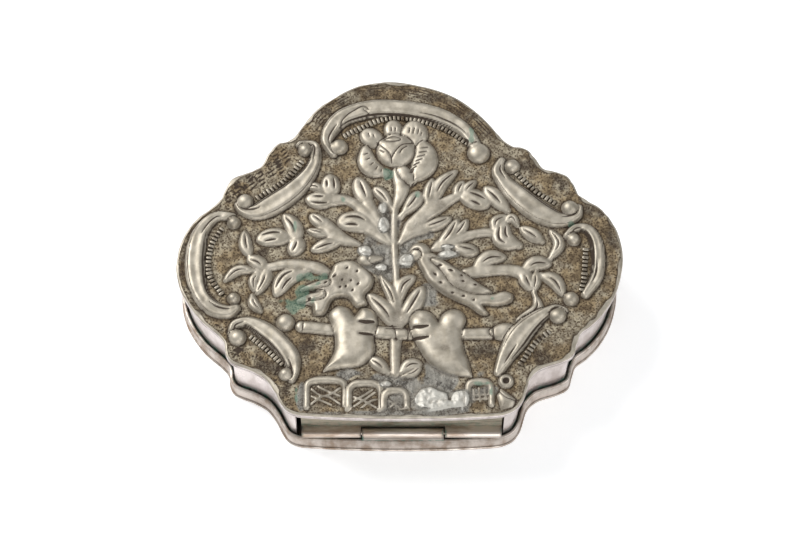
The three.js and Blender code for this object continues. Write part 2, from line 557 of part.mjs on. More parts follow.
// Half-round band under the edge of the lid plate, soldered to the wall
function lidEdgeBand(loop) {
  const outside = BAND_PROFILE_SHARES.map(([depth, height]) => [
    depth * FOOT_STEP,
    BAND_FOOT_Z + height * EDGE_BAND_HEIGHT,
  ]);
  const inside = WALL_OUTER - SOLDER_GAP;
  return ringGeometry(loop, [...outside, [inside, LID_UNDERSIDE], [inside, BAND_FOOT_Z]]);
}

// Lowest place of a loop at a given x, on the front edge
function frontOf(loop, x) {
  let front = Infinity;
  loop.forEach((point, i) => {
    const after = loop[(i + 1) % loop.length];
    if ((point.x - x) * (after.x - x) <= 0 && point.x !== after.x) {
      const y = THREE.MathUtils.lerp(point.y, after.y, (x - point.x) / (after.x - point.x));
      front = Math.min(front, y);
    }
  });
  return front;
}

// Box between two corners
function boxBetween(low, high) {
  const geometry = new THREE.BoxGeometry(high[0] - low[0], high[1] - low[1], high[2] - low[2]);
  geometry.translate((low[0] + high[0]) / 2, (low[1] + high[1]) / 2, (low[2] + high[2]) / 2);
  return geometry;
}

// Low rim of the tray, stood on the edge of the floor
function trayRim(loop) {
  return ringGeometry(loop, [
    [FOOT_STEP, TRAY_SHEET],
    [FOOT_STEP, TRAY_HEIGHT],
    [RIM_INNER, TRAY_HEIGHT],
    [RIM_INNER, TRAY_SHEET],
  ]);
}

// Pin through all three knuckles
function hingePin() {
  const radius = BORE_RADIUS - PIN_CLEARANCE;
  return rodAlongX(HINGE_LEFT, HINGE_RIGHT, radius).translate(0, hingeY, HINGE_Z);
}

// Deep plain wall of the lid, with the hinge recess cut through its front
function lidWall(loop) {
  const wall = ringGeometry(loop, [
    [WALL_OUTER, WALL_FOOT_Z],
    [WALL_OUTER, LID_UNDERSIDE],
    [WALL_INNER, LID_UNDERSIDE],
    [WALL_INNER, WALL_FOOT_Z],
  ]);
  const recess = boxBetween(
    [-FRONT_EDGE_END, -HALF_DEPTH, TRAY_SHEET],
    [FRONT_EDGE_END, bedFaceY, BAND_FOOT_Z],
  );
  return toGeometry(toSolid(wall).subtract(toSolid(recess)));
}

// Hollowed strip behind the knuckles, from the top of the recess down past the hinge axis
function hingeBed() {
  const front = BED_SHARES.map(([depth, drop]) => [
    THREE.MathUtils.lerp(wallFrontY, bedFaceY, depth),
    THREE.MathUtils.lerp(BAND_FOOT_Z, HINGE_Z, drop),
  ]);
  front.push([bedFaceY, HINGE_Z - BED_DROP]);
  const back = front.map(([y, z]) => [y + BED_SHEET, z]).reverse();
  const shape = new THREE.Shape([...front, ...back].map(([y, z]) => new THREE.Vector2(y, z)));
  const length = HINGE_RIGHT - HINGE_LEFT;
  const geometry = new THREE.ExtrudeGeometry(shape, { depth: length, bevelEnabled: false });
  geometry.rotateY(Math.PI / 2);
  geometry.rotateX(Math.PI / 2);
  geometry.translate(HINGE_LEFT, 0, 0);
  return geometry;
}

// Tube along X between two places on the hinge axis
function tubeAlongX(from, to, radius, boreRadius) {
  const outline = [[boreRadius, from], [radius, from], [radius, to], [boreRadius, to], [boreRadius, from]];
  const geometry = new THREE.LatheGeometry(outline.map(([r, x]) => new THREE.Vector2(r, x)), KNUCKLE_SIDES);
  geometry.rotateZ(-Math.PI / 2);
  return geometry;
}

// Round rod along X between two places on the hinge axis
function rodAlongX(from, to, radius) {
  const geometry = new THREE.CylinderGeometry(radius, radius, to - from, KNUCKLE_SIDES);
  geometry.rotateZ(-Math.PI / 2);
  geometry.translate((from + to) / 2, 0, 0);
  return geometry;
}

// Knuckle of the hinge: a tube with a flat leaf that ties it to its own half of the case
function knuckle(from, to, leafLow, leafHigh) {
  const onAxis = (geometry) => toSolid(geometry.translate(0, hingeY, HINGE_Z));
  const tube = onAxis(tubeAlongX(from, to, KNUCKLE_RADIUS, BORE_RADIUS));
  const leaf = toSolid(boxBetween([from, ...leafLow], [to, ...leafHigh]));
  const bore = onAxis(rodAlongX(from - KNUCKLE_CLEARANCE, to + KNUCKLE_CLEARANCE, BORE_RADIUS));
  return toGeometry(tube.add(leaf).subtract(bore));
}

// Outer knuckles, on the lid: their leaves reach back to the bed
function lidKnuckle(from, to) {
  return knuckle(from, to, [hingeY, HINGE_Z - BORE_RADIUS], [bedFaceY, HINGE_Z + BORE_RADIUS]);
}

// Middle knuckle, on the tray: its leaf stands on the top edge of the rim
function trayKnuckle(loop) {
  const rimMiddle = frontOf(insetLoop(loop, FOOT_STEP + RIM_SHEET / 2), MIDDLE_KNUCKLE);
  const leafHigh = [hingeY - BORE_RADIUS, HINGE_Z - BORE_RADIUS];
  return knuckle(MIDDLE_LEFT, MIDDLE_RIGHT, [rimMiddle, TRAY_HEIGHT], leafHigh);
}

function addPiece(group, name, geometry, material) {
  const mesh = new THREE.Mesh(geometry, material);
  mesh.name = name;
  group.add(mesh);
}

const outline = smoothLine(
  OUTLINE_SHARES.map(([u, v]) => place(u, v)),
  OUTLINE_SHARES.length * OUTLINE_STEPS,
  true,
);
const wallFace = insetLoop(outline, WALL_OUTER);
const wallFrontY = Math.max(frontOf(wallFace, HINGE_LEFT), frontOf(wallFace, HINGE_RIGHT));
const hingeY = wallFrontY - HINGE_OVERHANG;
const bedFaceY = hingeY + KNUCKLE_RADIUS + BED_STANDOFF;

const tray = new THREE.Group();
addPiece(tray, "tray_floor", stackGeometry([[outline, 0], [outline, TRAY_SHEET]]), TRAY_SILVER);
addPiece(tray, "tray_rim", trayRim(outline), TRAY_SILVER);
addPiece(tray, "hinge_knuckle_middle", trayKnuckle(outline), HINGE_SILVER);
addPiece(tray, "hinge_pin", hingePin(), HINGE_SILVER);

const leftEnd = MIDDLE_LEFT - KNUCKLE_CLEARANCE;
const rightStart = MIDDLE_RIGHT + KNUCKLE_CLEARANCE;
const lid = new THREE.Group();
addPiece(lid, "lid_plate", lidPlate(outline), WORN_SILVER);
addPiece(lid, "lid_edge_band", lidEdgeBand(outline), PLAIN_SILVER);
addPiece(lid, "lid_wall", lidWall(outline), PLAIN_SILVER);
addPiece(lid, "lid_hinge_bed", hingeBed(), RECESS_SILVER);
addPiece(lid, "hinge_knuckle_left", lidKnuckle(HINGE_LEFT, leftEnd), HINGE_SILVER);
addPiece(lid, "hinge_knuckle_right", lidKnuckle(rightStart, HINGE_RIGHT), HINGE_SILVER);

const tobaccoCase = new THREE.Group();
tobaccoCase.add(tray, lid);

export default tobaccoCase;
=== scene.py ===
import math

import bmesh
import bpy
import numpy as np
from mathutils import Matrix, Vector, geometry


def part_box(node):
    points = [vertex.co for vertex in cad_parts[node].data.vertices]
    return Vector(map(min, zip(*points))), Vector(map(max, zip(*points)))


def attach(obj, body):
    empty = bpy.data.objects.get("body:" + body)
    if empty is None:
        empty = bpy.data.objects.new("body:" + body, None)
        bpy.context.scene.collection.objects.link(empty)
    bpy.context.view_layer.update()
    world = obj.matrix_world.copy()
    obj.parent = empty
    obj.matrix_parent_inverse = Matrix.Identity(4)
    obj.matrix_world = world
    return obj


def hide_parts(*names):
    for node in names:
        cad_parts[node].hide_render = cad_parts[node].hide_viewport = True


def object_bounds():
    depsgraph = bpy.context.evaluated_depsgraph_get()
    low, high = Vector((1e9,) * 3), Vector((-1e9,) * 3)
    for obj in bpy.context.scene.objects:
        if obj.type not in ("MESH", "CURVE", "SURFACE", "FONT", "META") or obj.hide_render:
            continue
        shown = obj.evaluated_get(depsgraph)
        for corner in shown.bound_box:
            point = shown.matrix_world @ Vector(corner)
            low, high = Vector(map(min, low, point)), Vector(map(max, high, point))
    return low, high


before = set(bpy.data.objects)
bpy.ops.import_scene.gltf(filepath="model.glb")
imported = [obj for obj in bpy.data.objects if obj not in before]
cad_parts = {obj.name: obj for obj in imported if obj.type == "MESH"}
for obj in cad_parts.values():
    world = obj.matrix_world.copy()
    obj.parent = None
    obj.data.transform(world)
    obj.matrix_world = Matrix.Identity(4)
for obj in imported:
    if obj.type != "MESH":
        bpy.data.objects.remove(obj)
cad_low, cad_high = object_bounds()

bl_info = {
    "name": "Embossed tobacco case",
    "version": (1, 0, 0),
    "blender": (4, 5, 0),
    "location": "View3D > Sidebar > Case",
    "description": "Builds a lobed silver tobacco case with an embossed, hinged lid",
    "category": "Object",
}

MM = 0.001
HALF_WIDTH = (cad_high.x - cad_low.x) / 2
HALF_DEPTH = (cad_high.y - cad_low.y) / 2
SPAN = np.array([HALF_WIDTH, HALF_DEPTH])

# Levels and depths that come from the solids. All sheet is as thick as the tray's floor.
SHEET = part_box("tray_floor")[1].z
RIM_LOW, RIM_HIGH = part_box("tray_rim")
WALL_LOW, WALL_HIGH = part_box("lid_wall")
BAND_LOW, BAND_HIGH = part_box("lid_edge_band")
PLATE_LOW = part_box("lid_plate")[0]
BED_LOW, BED_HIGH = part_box("lid_hinge_bed")
PIN_LOW, PIN_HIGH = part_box("hinge_pin")
LEFT_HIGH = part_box("hinge_knuckle_left")[1]
MIDDLE_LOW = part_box("hinge_knuckle_middle")[0]
FOOT_STEP = HALF_WIDTH - RIM_HIGH.x
WALL_OUTER = HALF_WIDTH - WALL_HIGH.x
GROUND_Z = PLATE_LOW.z + SHEET
AXIS_Y = (PIN_LOW.y + PIN_HIGH.y) / 2
AXIS_Z = (PIN_LOW.z + PIN_HIGH.z) / 2
KNUCKLE_RADIUS = LEFT_HIGH.z - AXIS_Z

# Edge of the embossed sheet as depth and height, then the depths of the loops between it and the grid
LID_EDGE = [
    (0.18 * MM, PLATE_LOW.z), (0.04 * MM, PLATE_LOW.z + 0.14 * MM), (0.02 * MM, PLATE_LOW.z + 0.3 * MM),
    (0.08 * MM, PLATE_LOW.z + 0.46 * MM), (0.22 * MM, PLATE_LOW.z + 0.57 * MM),
]
LID_BORDER = [0.45 * MM, 0.7 * MM, 0.95 * MM, 1.2 * MM, 1.5 * MM]
LID_INNER = 1.8 * MM

# Hinge: the angles in degrees between which the side tubes stay round, those between which the middle
# tube gives way to its leaf, and the section of the bed from its top as shares of its depth and height
ROUND_FROM = 95
ROUND_TO = 325
LEAF_START = 205
LEAF_END = 262
LEAF_THICKNESS = 0.65 * MM
BED_SHARES = [(0, 0), (0.12, 0.08), (0.3, 0.18), (0.52, 0.31), (0.74, 0.46), (0.92, 0.62), (1, 0.78)]

# Studio: lamps with place and size in metres and power in watts, the glow of the floor and the camera
LAMPS = [
    ("key", (-0.55, 0.42, 0.72), 0.55, 6.8),
    ("fill", (0.7, -0.3, 0.7), 0.6, 2.0),
    ("front", (0.1, -0.9, 0.3), 0.5, 2.2),
]
WORLD_STRENGTH = 0.4
FLOOR_GLOW = 0.42
FLOOR_REACH = 3.0
CAMERA_ELEVATION = math.radians(65)
CAMERA_DISTANCE = 0.516
CAMERA_AIM = (-0.52 * MM, 1.59 * MM, 0)
CAMERA_LENS = 117
CAMERA_SHIFT = (0.00375, 0.010625)

# Largest distance from a form that the finish tells apart, and how far round a form is worked out
FAR = 1.0 * MM
REACH = 1.3 * MM

# Plan outline, counter-clockwise from the left end of the front edge,
# as shares of the half width and the half depth
FRONT_EDGE_SHARE = 0.46
OUTLINE_SHARES = [
    (-0.46, -0.973), (-0.38, -0.985), (0, -1), (0.38, -0.986), (0.46, -0.974),
    (0.51, -0.943), (0.541, -0.89), (0.557, -0.83), (0.575, -0.77), (0.615, -0.722), (0.72, -0.675),
    (0.765, -0.64), (0.782, -0.575), (0.8, -0.517), (0.85, -0.468), (0.905, -0.398), (0.955, -0.3),
    (0.987, -0.185), (1, -0.066), (0.986, 0.055), (0.952, 0.155), (0.905, 0.222), (0.85, 0.27),
    (0.812, 0.305), (0.788, 0.368), (0.763, 0.413), (0.72, 0.438), (0.652, 0.467), (0.617, 0.527),
    (0.58, 0.582), (0.515, 0.601), (0.478, 0.632), (0.43, 0.706), (0.35, 0.813), (0.25, 0.905),
    (0.11, 0.97), (-0.05, 1), (-0.18, 0.977), (-0.296, 0.905), (-0.377, 0.83), (-0.44, 0.735),
    (-0.498, 0.64), (-0.556, 0.614), (-0.596, 0.56), (-0.63, 0.478), (-0.695, 0.435), (-0.76, 0.398),
    (-0.79, 0.335), (-0.818, 0.262), (-0.917, 0.153), (-0.97, 0.05), (-1, -0.095), (-0.988, -0.22),
    (-0.952, -0.325), (-0.885, -0.437), (-0.8, -0.53), (-0.774, -0.572), (-0.768, -0.63),
    (-0.745, -0.678), (-0.65, -0.73), (-0.596, -0.77), (-0.555, -0.835), (-0.525, -0.905),
    (-0.5, -0.948),
]
OUTLINE_STEPS = 9

# Shares of the outline with a scored top border and with a punched left border, and the punch marks there
TOP_BORDER_SPAN = (0.497, 0.632)
SIDE_BORDER_SPAN = (0.68, 0.96)
PUNCH_COUNT = 230

# How much broader the forms are than the half widths in their tables
SCROLL_FULLNESS = 1.25
BRANCH_FULLNESS = 1.45
LEAF_FULLNESS = 1.14

# Leaves: steps from foot to middle and from middle to tip, and the half width from which two slits fit
LEAF_STEPS = 7
WIDE_LEAF_SHARE = 0.036

# C-scrolls of the border: places with half widths, as shares
SCROLL_SHARES = [
    [(-0.3, 0.546, 0.01), (-0.333, 0.62, 0.02), (-0.312, 0.7, 0.03), (-0.265, 0.765, 0.034),
     (-0.19, 0.806, 0.036), (-0.1, 0.826, 0.036), (0.04, 0.818, 0.035), (0.187, 0.774, 0.034),
     (0.297, 0.691, 0.026), (0.345, 0.595, 0.024)],
    [(-0.454, 0.6, 0.008), (-0.389, 0.597, 0.015), (-0.383, 0.52, 0.021), (-0.404, 0.44, 0.027),
     (-0.479, 0.324, 0.038), (-0.58, 0.232, 0.041), (-0.65, 0.19, 0.03), (-0.713, 0.203, 0.015),
     (-0.727, 0.238, 0.01)],
    [(-0.755, 0.164, 0.014), (-0.826, 0.164, 0.019), (-0.89, 0.083, 0.027), (-0.913, -0.03, 0.034),
     (-0.912, -0.17, 0.035), (-0.885, -0.295, 0.029), (-0.83, -0.375, 0.029), (-0.758, -0.397, 0.024),
     (-0.725, -0.377, 0.014)],
    [(-0.74, -0.531, 0.01), (-0.73, -0.475, 0.017), (-0.678, -0.454, 0.019), (-0.6, -0.5, 0.032),
     (-0.53, -0.575, 0.034), (-0.48, -0.66, 0.033), (-0.466, -0.74, 0.02), (-0.474, -0.781, 0.01)],
    [(0.726, -0.392, 0.01), (0.69, -0.378, 0.013), (0.62, -0.425, 0.025), (0.554, -0.496, 0.037),
     (0.51, -0.567, 0.04), (0.465, -0.66, 0.028), (0.432, -0.745, 0.012)],
    [(0.755, 0.049, 0.009), (0.79, 0.093, 0.014), (0.84, 0.093, 0.018), (0.877, 0.035, 0.021),
     (0.891, -0.07, 0.023), (0.878, -0.195, 0.021), (0.826, -0.296, 0.01)],
    [(0.464, 0.5, 0.012), (0.447, 0.44, 0.022), (0.48, 0.365, 0.03), (0.55, 0.273, 0.042),
     (0.638, 0.186, 0.041), (0.729, 0.144, 0.028), (0.799, 0.174, 0.018), (0.807, 0.215, 0.012)],
]

# Lines cut along each scroll: first and last share of its length, and share of the half width across
SCROLL_LINES = [(0.08, 0.3, 0.3), (0.7, 0.92, 0.3), (0.25, 0.85, 0.8), (0.2, 0.8, -0.72)]

# Beaded strips inside the scrolls
BEAD_SHARES = [
    [(-0.251, 0.656), (-0.181, 0.703), (-0.107, 0.746), (-0.027, 0.767), (0.053, 0.761),
     (0.132, 0.734), (0.212, 0.692), (0.306, 0.612)],
    [(-0.446, 0.494), (-0.488, 0.428), (-0.541, 0.364), (-0.642, 0.277)],
    [(-0.8, 0.089), (-0.838, 0.014), (-0.854, -0.089), (-0.845, -0.193), (-0.792, -0.291)],
    [(-0.656, -0.543), (-0.603, -0.595), (-0.553, -0.653), (-0.518, -0.695)],
    [(0.659, -0.514), (0.609, -0.56), (0.574, -0.615), (0.532, -0.695)],
    [(0.833, -0.032), (0.829, -0.101), (0.821, -0.204), (0.81, -0.268)],
    [(0.534, 0.421), (0.58, 0.361), (0.628, 0.307), (0.698, 0.248)],
]

# Balls at the scroll ends and on the rod, and the hollow one by the arcade: place and radius
BALL_SHARES = [
    (-0.275, 0.588, 0.038), (0.36, 0.55, 0.05), (-0.432, 0.568, 0.03), (-0.698, 0.256, 0.036),
    (-0.746, 0.126, 0.029), (-0.738, -0.32, 0.028), (-0.715, -0.544, 0.037), (-0.501, -0.755, 0.029),
    (0.7, -0.42, 0.036), (0.781, 0.026, 0.03), (0.761, -0.321, 0.034),
    (0.512, 0.468, 0.035), (0.768, 0.216, 0.037), (-0.506, -0.459, 0.04),
]
RING_BALL_SHARE = (0.465, -0.793, 0.033)

# Leaves: foot, middle and tip of the mid line, half width, fullness towards the tip
LEAF_SHARES = [
    (-0.03, 0.205, -0.075, 0.29, -0.115, 0.34, 0.024, 1.3),
    (-0.14, 0.235, -0.168, 0.315, -0.192, 0.397, 0.035, 1.1),
    (-0.31, 0.295, -0.313, 0.35, -0.317, 0.41, 0.037, 1),
    (-0.285, 0.268, -0.355, 0.262, -0.417, 0.272, 0.037, 1.1),
    (-0.35, 0.318, -0.38, 0.345, -0.413, 0.347, 0.019, 1),
    (-0.12, 0.082, -0.195, 0.135, -0.27, 0.133, 0.045, 1.2),
    (-0.33, 0.106, -0.367, 0.14, -0.401, 0.175, 0.025, 1),
    (-0.32, 0.05, -0.37, 0.068, -0.416, 0.086, 0.017, 1),
    (-0.26, 0.016, -0.33, -0.004, -0.394, -0.035, 0.027, 1.1),
    (-0.46, 0.02, -0.477, 0.105, -0.523, 0.177, 0.033, 0.9),
    (-0.457, 0.03, -0.462, -0.01, -0.481, -0.056, 0.033, 1),
    (-0.495, 0.034, -0.565, 0.045, -0.635, 0.025, 0.04, 1.05),
    (-0.672, -0.068, -0.692, 0, -0.698, 0.083, 0.025, 0.9),
    (-0.6, -0.146, -0.632, -0.108, -0.678, -0.086, 0.029, 1),
    (-0.59, -0.148, -0.603, -0.215, -0.638, -0.298, 0.024, 0.8),
    (-0.62, -0.165, -0.652, -0.21, -0.648, -0.28, 0.018, 1),
    (-0.656, -0.3, -0.648, -0.35, -0.611, -0.401, 0.02, 1),
    (-0.633, -0.161, -0.722, -0.153, -0.784, -0.222, 0.021, 1.1),
    (-0.42, -0.163, -0.503, -0.198, -0.553, -0.304, 0.037, 1.1),
    (0.003, 0.163, 0.062, 0.25, 0.088, 0.307, 0.031, 1.3),
    (0.127, 0.235, 0.133, 0.31, 0.15, 0.398, 0.023, 1),
    (0.15, 0.25, 0.186, 0.36, 0.264, 0.448, 0.029, 0.8),
    (0.262, 0.29, 0.267, 0.33, 0.288, 0.377, 0.022, 1),
    (0.287, 0.298, 0.31, 0.34, 0.344, 0.381, 0.02, 1),
    (0.275, 0.297, 0.338, 0.272, 0.396, 0.235, 0.043, 1.1),
    (0.09, 0.09, 0.165, 0.118, 0.233, 0.159, 0.026, 1.1),
    (0.175, -0.014, 0.225, 0.055, 0.264, 0.155, 0.028, 0.95),
    (0.232, 0.03, 0.272, 0.08, 0.305, 0.15, 0.022, 1),
    (0.237, -0.007, 0.295, -0.03, 0.348, -0.046, 0.028, 1.2),
    (0.485, 0.202, 0.437, 0.278, 0.386, 0.342, 0.034, 1),
    (0.43, 0.075, 0.432, 0.135, 0.482, 0.17, 0.022, 1),
    (0.475, 0.13, 0.505, 0.158, 0.535, 0.1, 0.018, 1),
    (0.533, -0.004, 0.463, 0.035, 0.468, 0.142, 0.04, 1),
    (0.638, 0.016, 0.597, 0.056, 0.544, 0.1, 0.028, 1),
    (0.67, -0.09, 0.715, 0, 0.674, 0.089, 0.022, 1),
    (0.333, -0.145, 0.4, -0.08, 0.473, -0.076, 0.032, 1),
    (0.55, -0.16, 0.563, -0.215, 0.584, -0.268, 0.027, 0.9),
    (0.55, -0.155, 0.612, -0.11, 0.673, -0.118, 0.031, 1),
    (0.61, -0.16, 0.607, -0.215, 0.597, -0.275, 0.02, 1),
    (0.597, -0.283, 0.61, -0.375, 0.513, -0.451, 0.022, 1.3),
    (0.63, -0.18, 0.69, -0.215, 0.729, -0.306, 0.029, 1),
    (-0.018, -0.487, -0.063, -0.39, -0.142, -0.293, 0.034, 1),
    (-0.012, -0.4, -0.035, -0.3, -0.089, -0.178, 0.022, 1),
    (-0.002, -0.345, 0.012, -0.245, 0.067, -0.189, 0.027, 1.1),
    (-0.003, -0.482, 0.06, -0.355, 0.106, -0.248, 0.035, 1.1),
    (-0.052, -0.745, -0.09, -0.7, -0.131, -0.664, 0.025, 1),
    (0.006, -0.745, 0.045, -0.7, 0.095, -0.695, 0.025, 1),
    (0.012, -0.768, 0.06, -0.75, 0.094, -0.712, 0.014, 1),
]

# Stem and branches: places with half widths
BRANCH_SHARES = [
    [(0, 0.43, 0.024), (0.01, 0.35, 0.024), (0, 0.28, 0.018), (-0.02, 0.21, 0.011),
     (-0.025, 0.1, 0.01), (-0.023, -0.05, 0.01), (-0.016, -0.2, 0.01), (-0.011, -0.36, 0.014),
     (-0.01, -0.48, 0.018), (-0.02, -0.6, 0.016), (-0.02, -0.75, 0.013)],
    [(-0.035, 0.005, 0.007), (-0.085, 0.115, 0.012), (-0.142, 0.245, 0.019)],
    [(-0.075, 0.065, 0.009), (-0.145, 0.18, 0.017), (-0.235, 0.264, 0.016), (-0.3, 0.267, 0.022)],
    [(-0.05, 0.004, 0.008), (-0.087, 0.044, 0.016), (-0.135, 0.095, 0.024)],
    [(-0.183, 0.001, 0.008), (-0.255, 0.031, 0.02), (-0.3, 0.066, 0.026), (-0.342, 0.118, 0.024)],
    [(-0.32, -0.167, 0.012), (-0.363, -0.143, 0.019), (-0.416, -0.124, 0.017), (-0.475, -0.117, 0.016),
     (-0.533, -0.121, 0.015), (-0.6, -0.14, 0.013)],
    [(0, 0.008, 0.007), (0.034, 0.065, 0.018), (0.06, 0.106, 0.027), (0.12, 0.193, 0.024),
     (0.152, 0.255, 0.022)],
    [(0.12, 0.172, 0.018), (0.172, 0.219, 0.02), (0.224, 0.264, 0.017), (0.28, 0.301, 0.012)],
    [(0.013, 0.024, 0.008), (0.055, 0.068, 0.017), (0.105, 0.096, 0.022)],
    [(0.15, -0.028, 0.007), (0.185, -0.006, 0.02), (0.245, 0.025, 0.018), (0.336, 0.063, 0.014),
     (0.4, 0.072, 0.014), (0.437, 0.06, 0.012)],
    [(0.3, -0.17, 0.018), (0.353, -0.159, 0.02), (0.411, -0.154, 0.018), (0.47, -0.15, 0.017),
     (0.525, -0.16, 0.02), (0.56, -0.182, 0.022)],
]

# Rose: petals like leaves, and the closed bud as a low dome
PETAL_SHARES = [
    (-0.027, 0.63, -0.029, 0.69, -0.031, 0.737, 0.037, 1.1),
    (0.055, 0.6, 0.068, 0.66, 0.065, 0.738, 0.053, 1),
    (-0.09, 0.605, -0.125, 0.642, -0.162, 0.677, 0.04, 1.1),
    (-0.065, 0.425, -0.14, 0.475, -0.158, 0.592, 0.038, 1),
    (0.05, 0.38, 0.112, 0.48, 0.113, 0.613, 0.05, 1.2),
    (0.05, 0.375, 0.025, 0.425, 0, 0.48, 0.024, 1),
]
BUD_SHARES = (-0.018, 0.562, 0.086, 0.098)

# Two birds: outlines of the bodies with tail and legs, then heads, then beaks and tail feathers,
# and the wing of the right one
BIRD_SHARES = [
    [(-0.29, -0.118), (-0.213, -0.099), (-0.166, -0.136), (-0.118, -0.2), (-0.125, -0.257),
     (-0.157, -0.303), (-0.145, -0.355), (-0.192, -0.372), (-0.229, -0.316), (-0.283, -0.316),
     (-0.307, -0.34), (-0.334, -0.412), (-0.38, -0.412), (-0.388, -0.362), (-0.443, -0.345),
     (-0.436, -0.31), (-0.38, -0.303), (-0.355, -0.282), (-0.43, -0.26), (-0.33, -0.22),
     (-0.305, -0.164)],
    [(0.08, -0.085), (0.104, -0.17), (0.137, -0.238), (0.184, -0.285), (0.246, -0.331),
     (0.308, -0.365), (0.362, -0.415), (0.394, -0.411), (0.368, -0.362), (0.432, -0.362),
     (0.495, -0.34), (0.503, -0.298), (0.463, -0.279), (0.401, -0.298), (0.339, -0.238),
     (0.261, -0.155), (0.199, -0.094), (0.13, -0.05)],
]
HEAD_SHARES = [(-0.15, -0.095, 0.04, 0.035), (0.09, -0.049, 0.047, 0.056)]
BEAK_SHARES = [
    [(-0.12, -0.09, 0.018), (-0.085, -0.085, 0.012)], [(0.07, -0.068, 0.024), (0.02, -0.098, 0.008)],
    [(-0.33, -0.23, 0.02), (-0.385, -0.247, 0.016), (-0.438, -0.268, 0.006)],
    [(-0.35, -0.302, 0.02), (-0.4, -0.315, 0.018), (-0.448, -0.334, 0.01)],
]
WING_SHARES = [
    (0.14, -0.095), (0.19, -0.165), (0.235, -0.245), (0.3, -0.285), (0.36, -0.3), (0.412, -0.287),
    (0.363, -0.242), (0.286, -0.175), (0.216, -0.116), (0.175, -0.095),
]

# Feathers punched into the birds: place, length and angle in degrees
SPOT_SHARES = [
    (-0.33, -0.233, 0.018, 40), (-0.291, -0.197, 0.018, 40), (-0.256, -0.22, 0.01, 60),
    (-0.217, -0.223, 0.009, 80), (-0.186, -0.243, 0.013, 60), (-0.24, -0.258, 0.012, 70),
    (-0.265, -0.262, 0.01, 50), (-0.21, -0.28, 0.01, 60), (-0.4, -0.328, 0.013, 20),
    (-0.235, -0.15, 0.012, 40), (-0.19, -0.17, 0.01, 60),
    (0.18, -0.135, 0.018, -15), (0.228, -0.167, 0.022, -25), (0.276, -0.197, 0.016, -35),
    (0.281, -0.23, 0.014, -20), (0.336, -0.251, 0.017, -10), (0.157, -0.187, 0.022, -45),
    (0.182, -0.235, 0.016, -30), (0.234, -0.295, 0.014, -20), (0.282, -0.314, 0.014, -5),
    (0.328, -0.337, 0.008, 0), (0.08, -0.04, 0.014, 0),
]

# Rod through the hearts, with its pointed end: places with half widths
ROD_SHARES = [
    [(-0.435, -0.481, 0.026), (-0.28, -0.501, 0.027)],
    [(-0.176, -0.5, 0.029), (-0.027, -0.52, 0.027), (0.122, -0.53, 0.025)],
    [(0.282, -0.524, 0.025), (0.4, -0.521, 0.027)],
    [(0.416, -0.515, 0.02), (0.461, -0.511, 0.042), (0.512, -0.484, 0.006)],
]

# Hearts, each as two sides that meet at the notch and at the tip
HEART_SHARES = [
    [
        [(-0.337, -0.74), (-0.26, -0.722), (-0.17, -0.705), (-0.112, -0.63), (-0.115, -0.55),
         (-0.1, -0.46), (-0.115, -0.395), (-0.165, -0.375), (-0.2, -0.425)],
        [(-0.2, -0.425), (-0.225, -0.38), (-0.275, -0.365), (-0.312, -0.41), (-0.29, -0.51),
         (-0.286, -0.615), (-0.337, -0.74)],
    ],
    [
        [(0.318, -0.772), (0.303, -0.69), (0.282, -0.61), (0.272, -0.52), (0.292, -0.44),
         (0.27, -0.392), (0.225, -0.385), (0.188, -0.415), (0.172, -0.461)],
        [(0.172, -0.461), (0.14, -0.405), (0.09, -0.388), (0.048, -0.43), (0.047, -0.5),
         (0.082, -0.6), (0.13, -0.69), (0.21, -0.752), (0.318, -0.772)],
    ],
]

# Slots where the rod enters the hearts: places with half widths
SLOT_SHARES = [
    [(-0.178, -0.462, 0.008), (-0.15, -0.468, 0.014), (-0.115, -0.462, 0.008)],
    [(-0.178, -0.532, 0.006), (-0.15, -0.536, 0.01), (-0.12, -0.534, 0.006)],
    [(0.06, -0.492, 0.007), (0.09, -0.496, 0.013), (0.125, -0.49, 0.006)],
    [(0.06, -0.552, 0.006), (0.09, -0.558, 0.012), (0.125, -0.552, 0.006)],
]

# Arcade along the front: left leg, right leg, foot, spring and crown of each arch
ARCH_SHARES = [
    (-0.407, -0.238, -0.94, -0.83, -0.785),
    (-0.222, -0.082, -0.955, -0.86, -0.803),
    (-0.068, 0.03, -0.96, -0.9, -0.845),
    (0.298, 0.4, -0.925, -0.845, -0.795),
]
ARCH_HALF_SHARE = 0.012

# Raised strokes inside the arches, and the facetted lump at their right end
HATCH_HALF_SHARE = 0.0035
HATCH_SHARES = [
    [(-0.387, -0.835), (-0.35, -0.87), (-0.31, -0.88), (-0.262, -0.92)],
    [(-0.387, -0.92), (-0.345, -0.88), (-0.305, -0.865), (-0.262, -0.83)],
    [(-0.385, -0.877), (-0.335, -0.905), (-0.3, -0.925)],
    [(-0.36, -0.82), (-0.32, -0.845), (-0.262, -0.875)],
    [(-0.203, -0.88), (-0.16, -0.9), (-0.104, -0.94)],
    [(-0.203, -0.935), (-0.16, -0.9), (-0.11, -0.855)],
    [(-0.203, -0.905), (-0.15, -0.865), (-0.12, -0.84)],
    [(-0.17, -0.945), (-0.13, -0.905), (-0.104, -0.895)],
    [(-0.05, -0.9), (-0.02, -0.925), (0.01, -0.955)], [(-0.05, -0.945), (-0.01, -0.905)],
    [(0.32, -0.84), (0.325, -0.9)], [(0.345, -0.83), (0.35, -0.905)], [(0.32, -0.87), (0.385, -0.865)],
    [(0.37, -0.84), (0.375, -0.895)], [(0.32, -0.895), (0.38, -0.89)],
]
FACET_SHARES = [
    (0.425, -0.873), (0.441, -0.834), (0.466, -0.858), (0.509, -0.9), (0.49, -0.937), (0.441, -0.954),
]

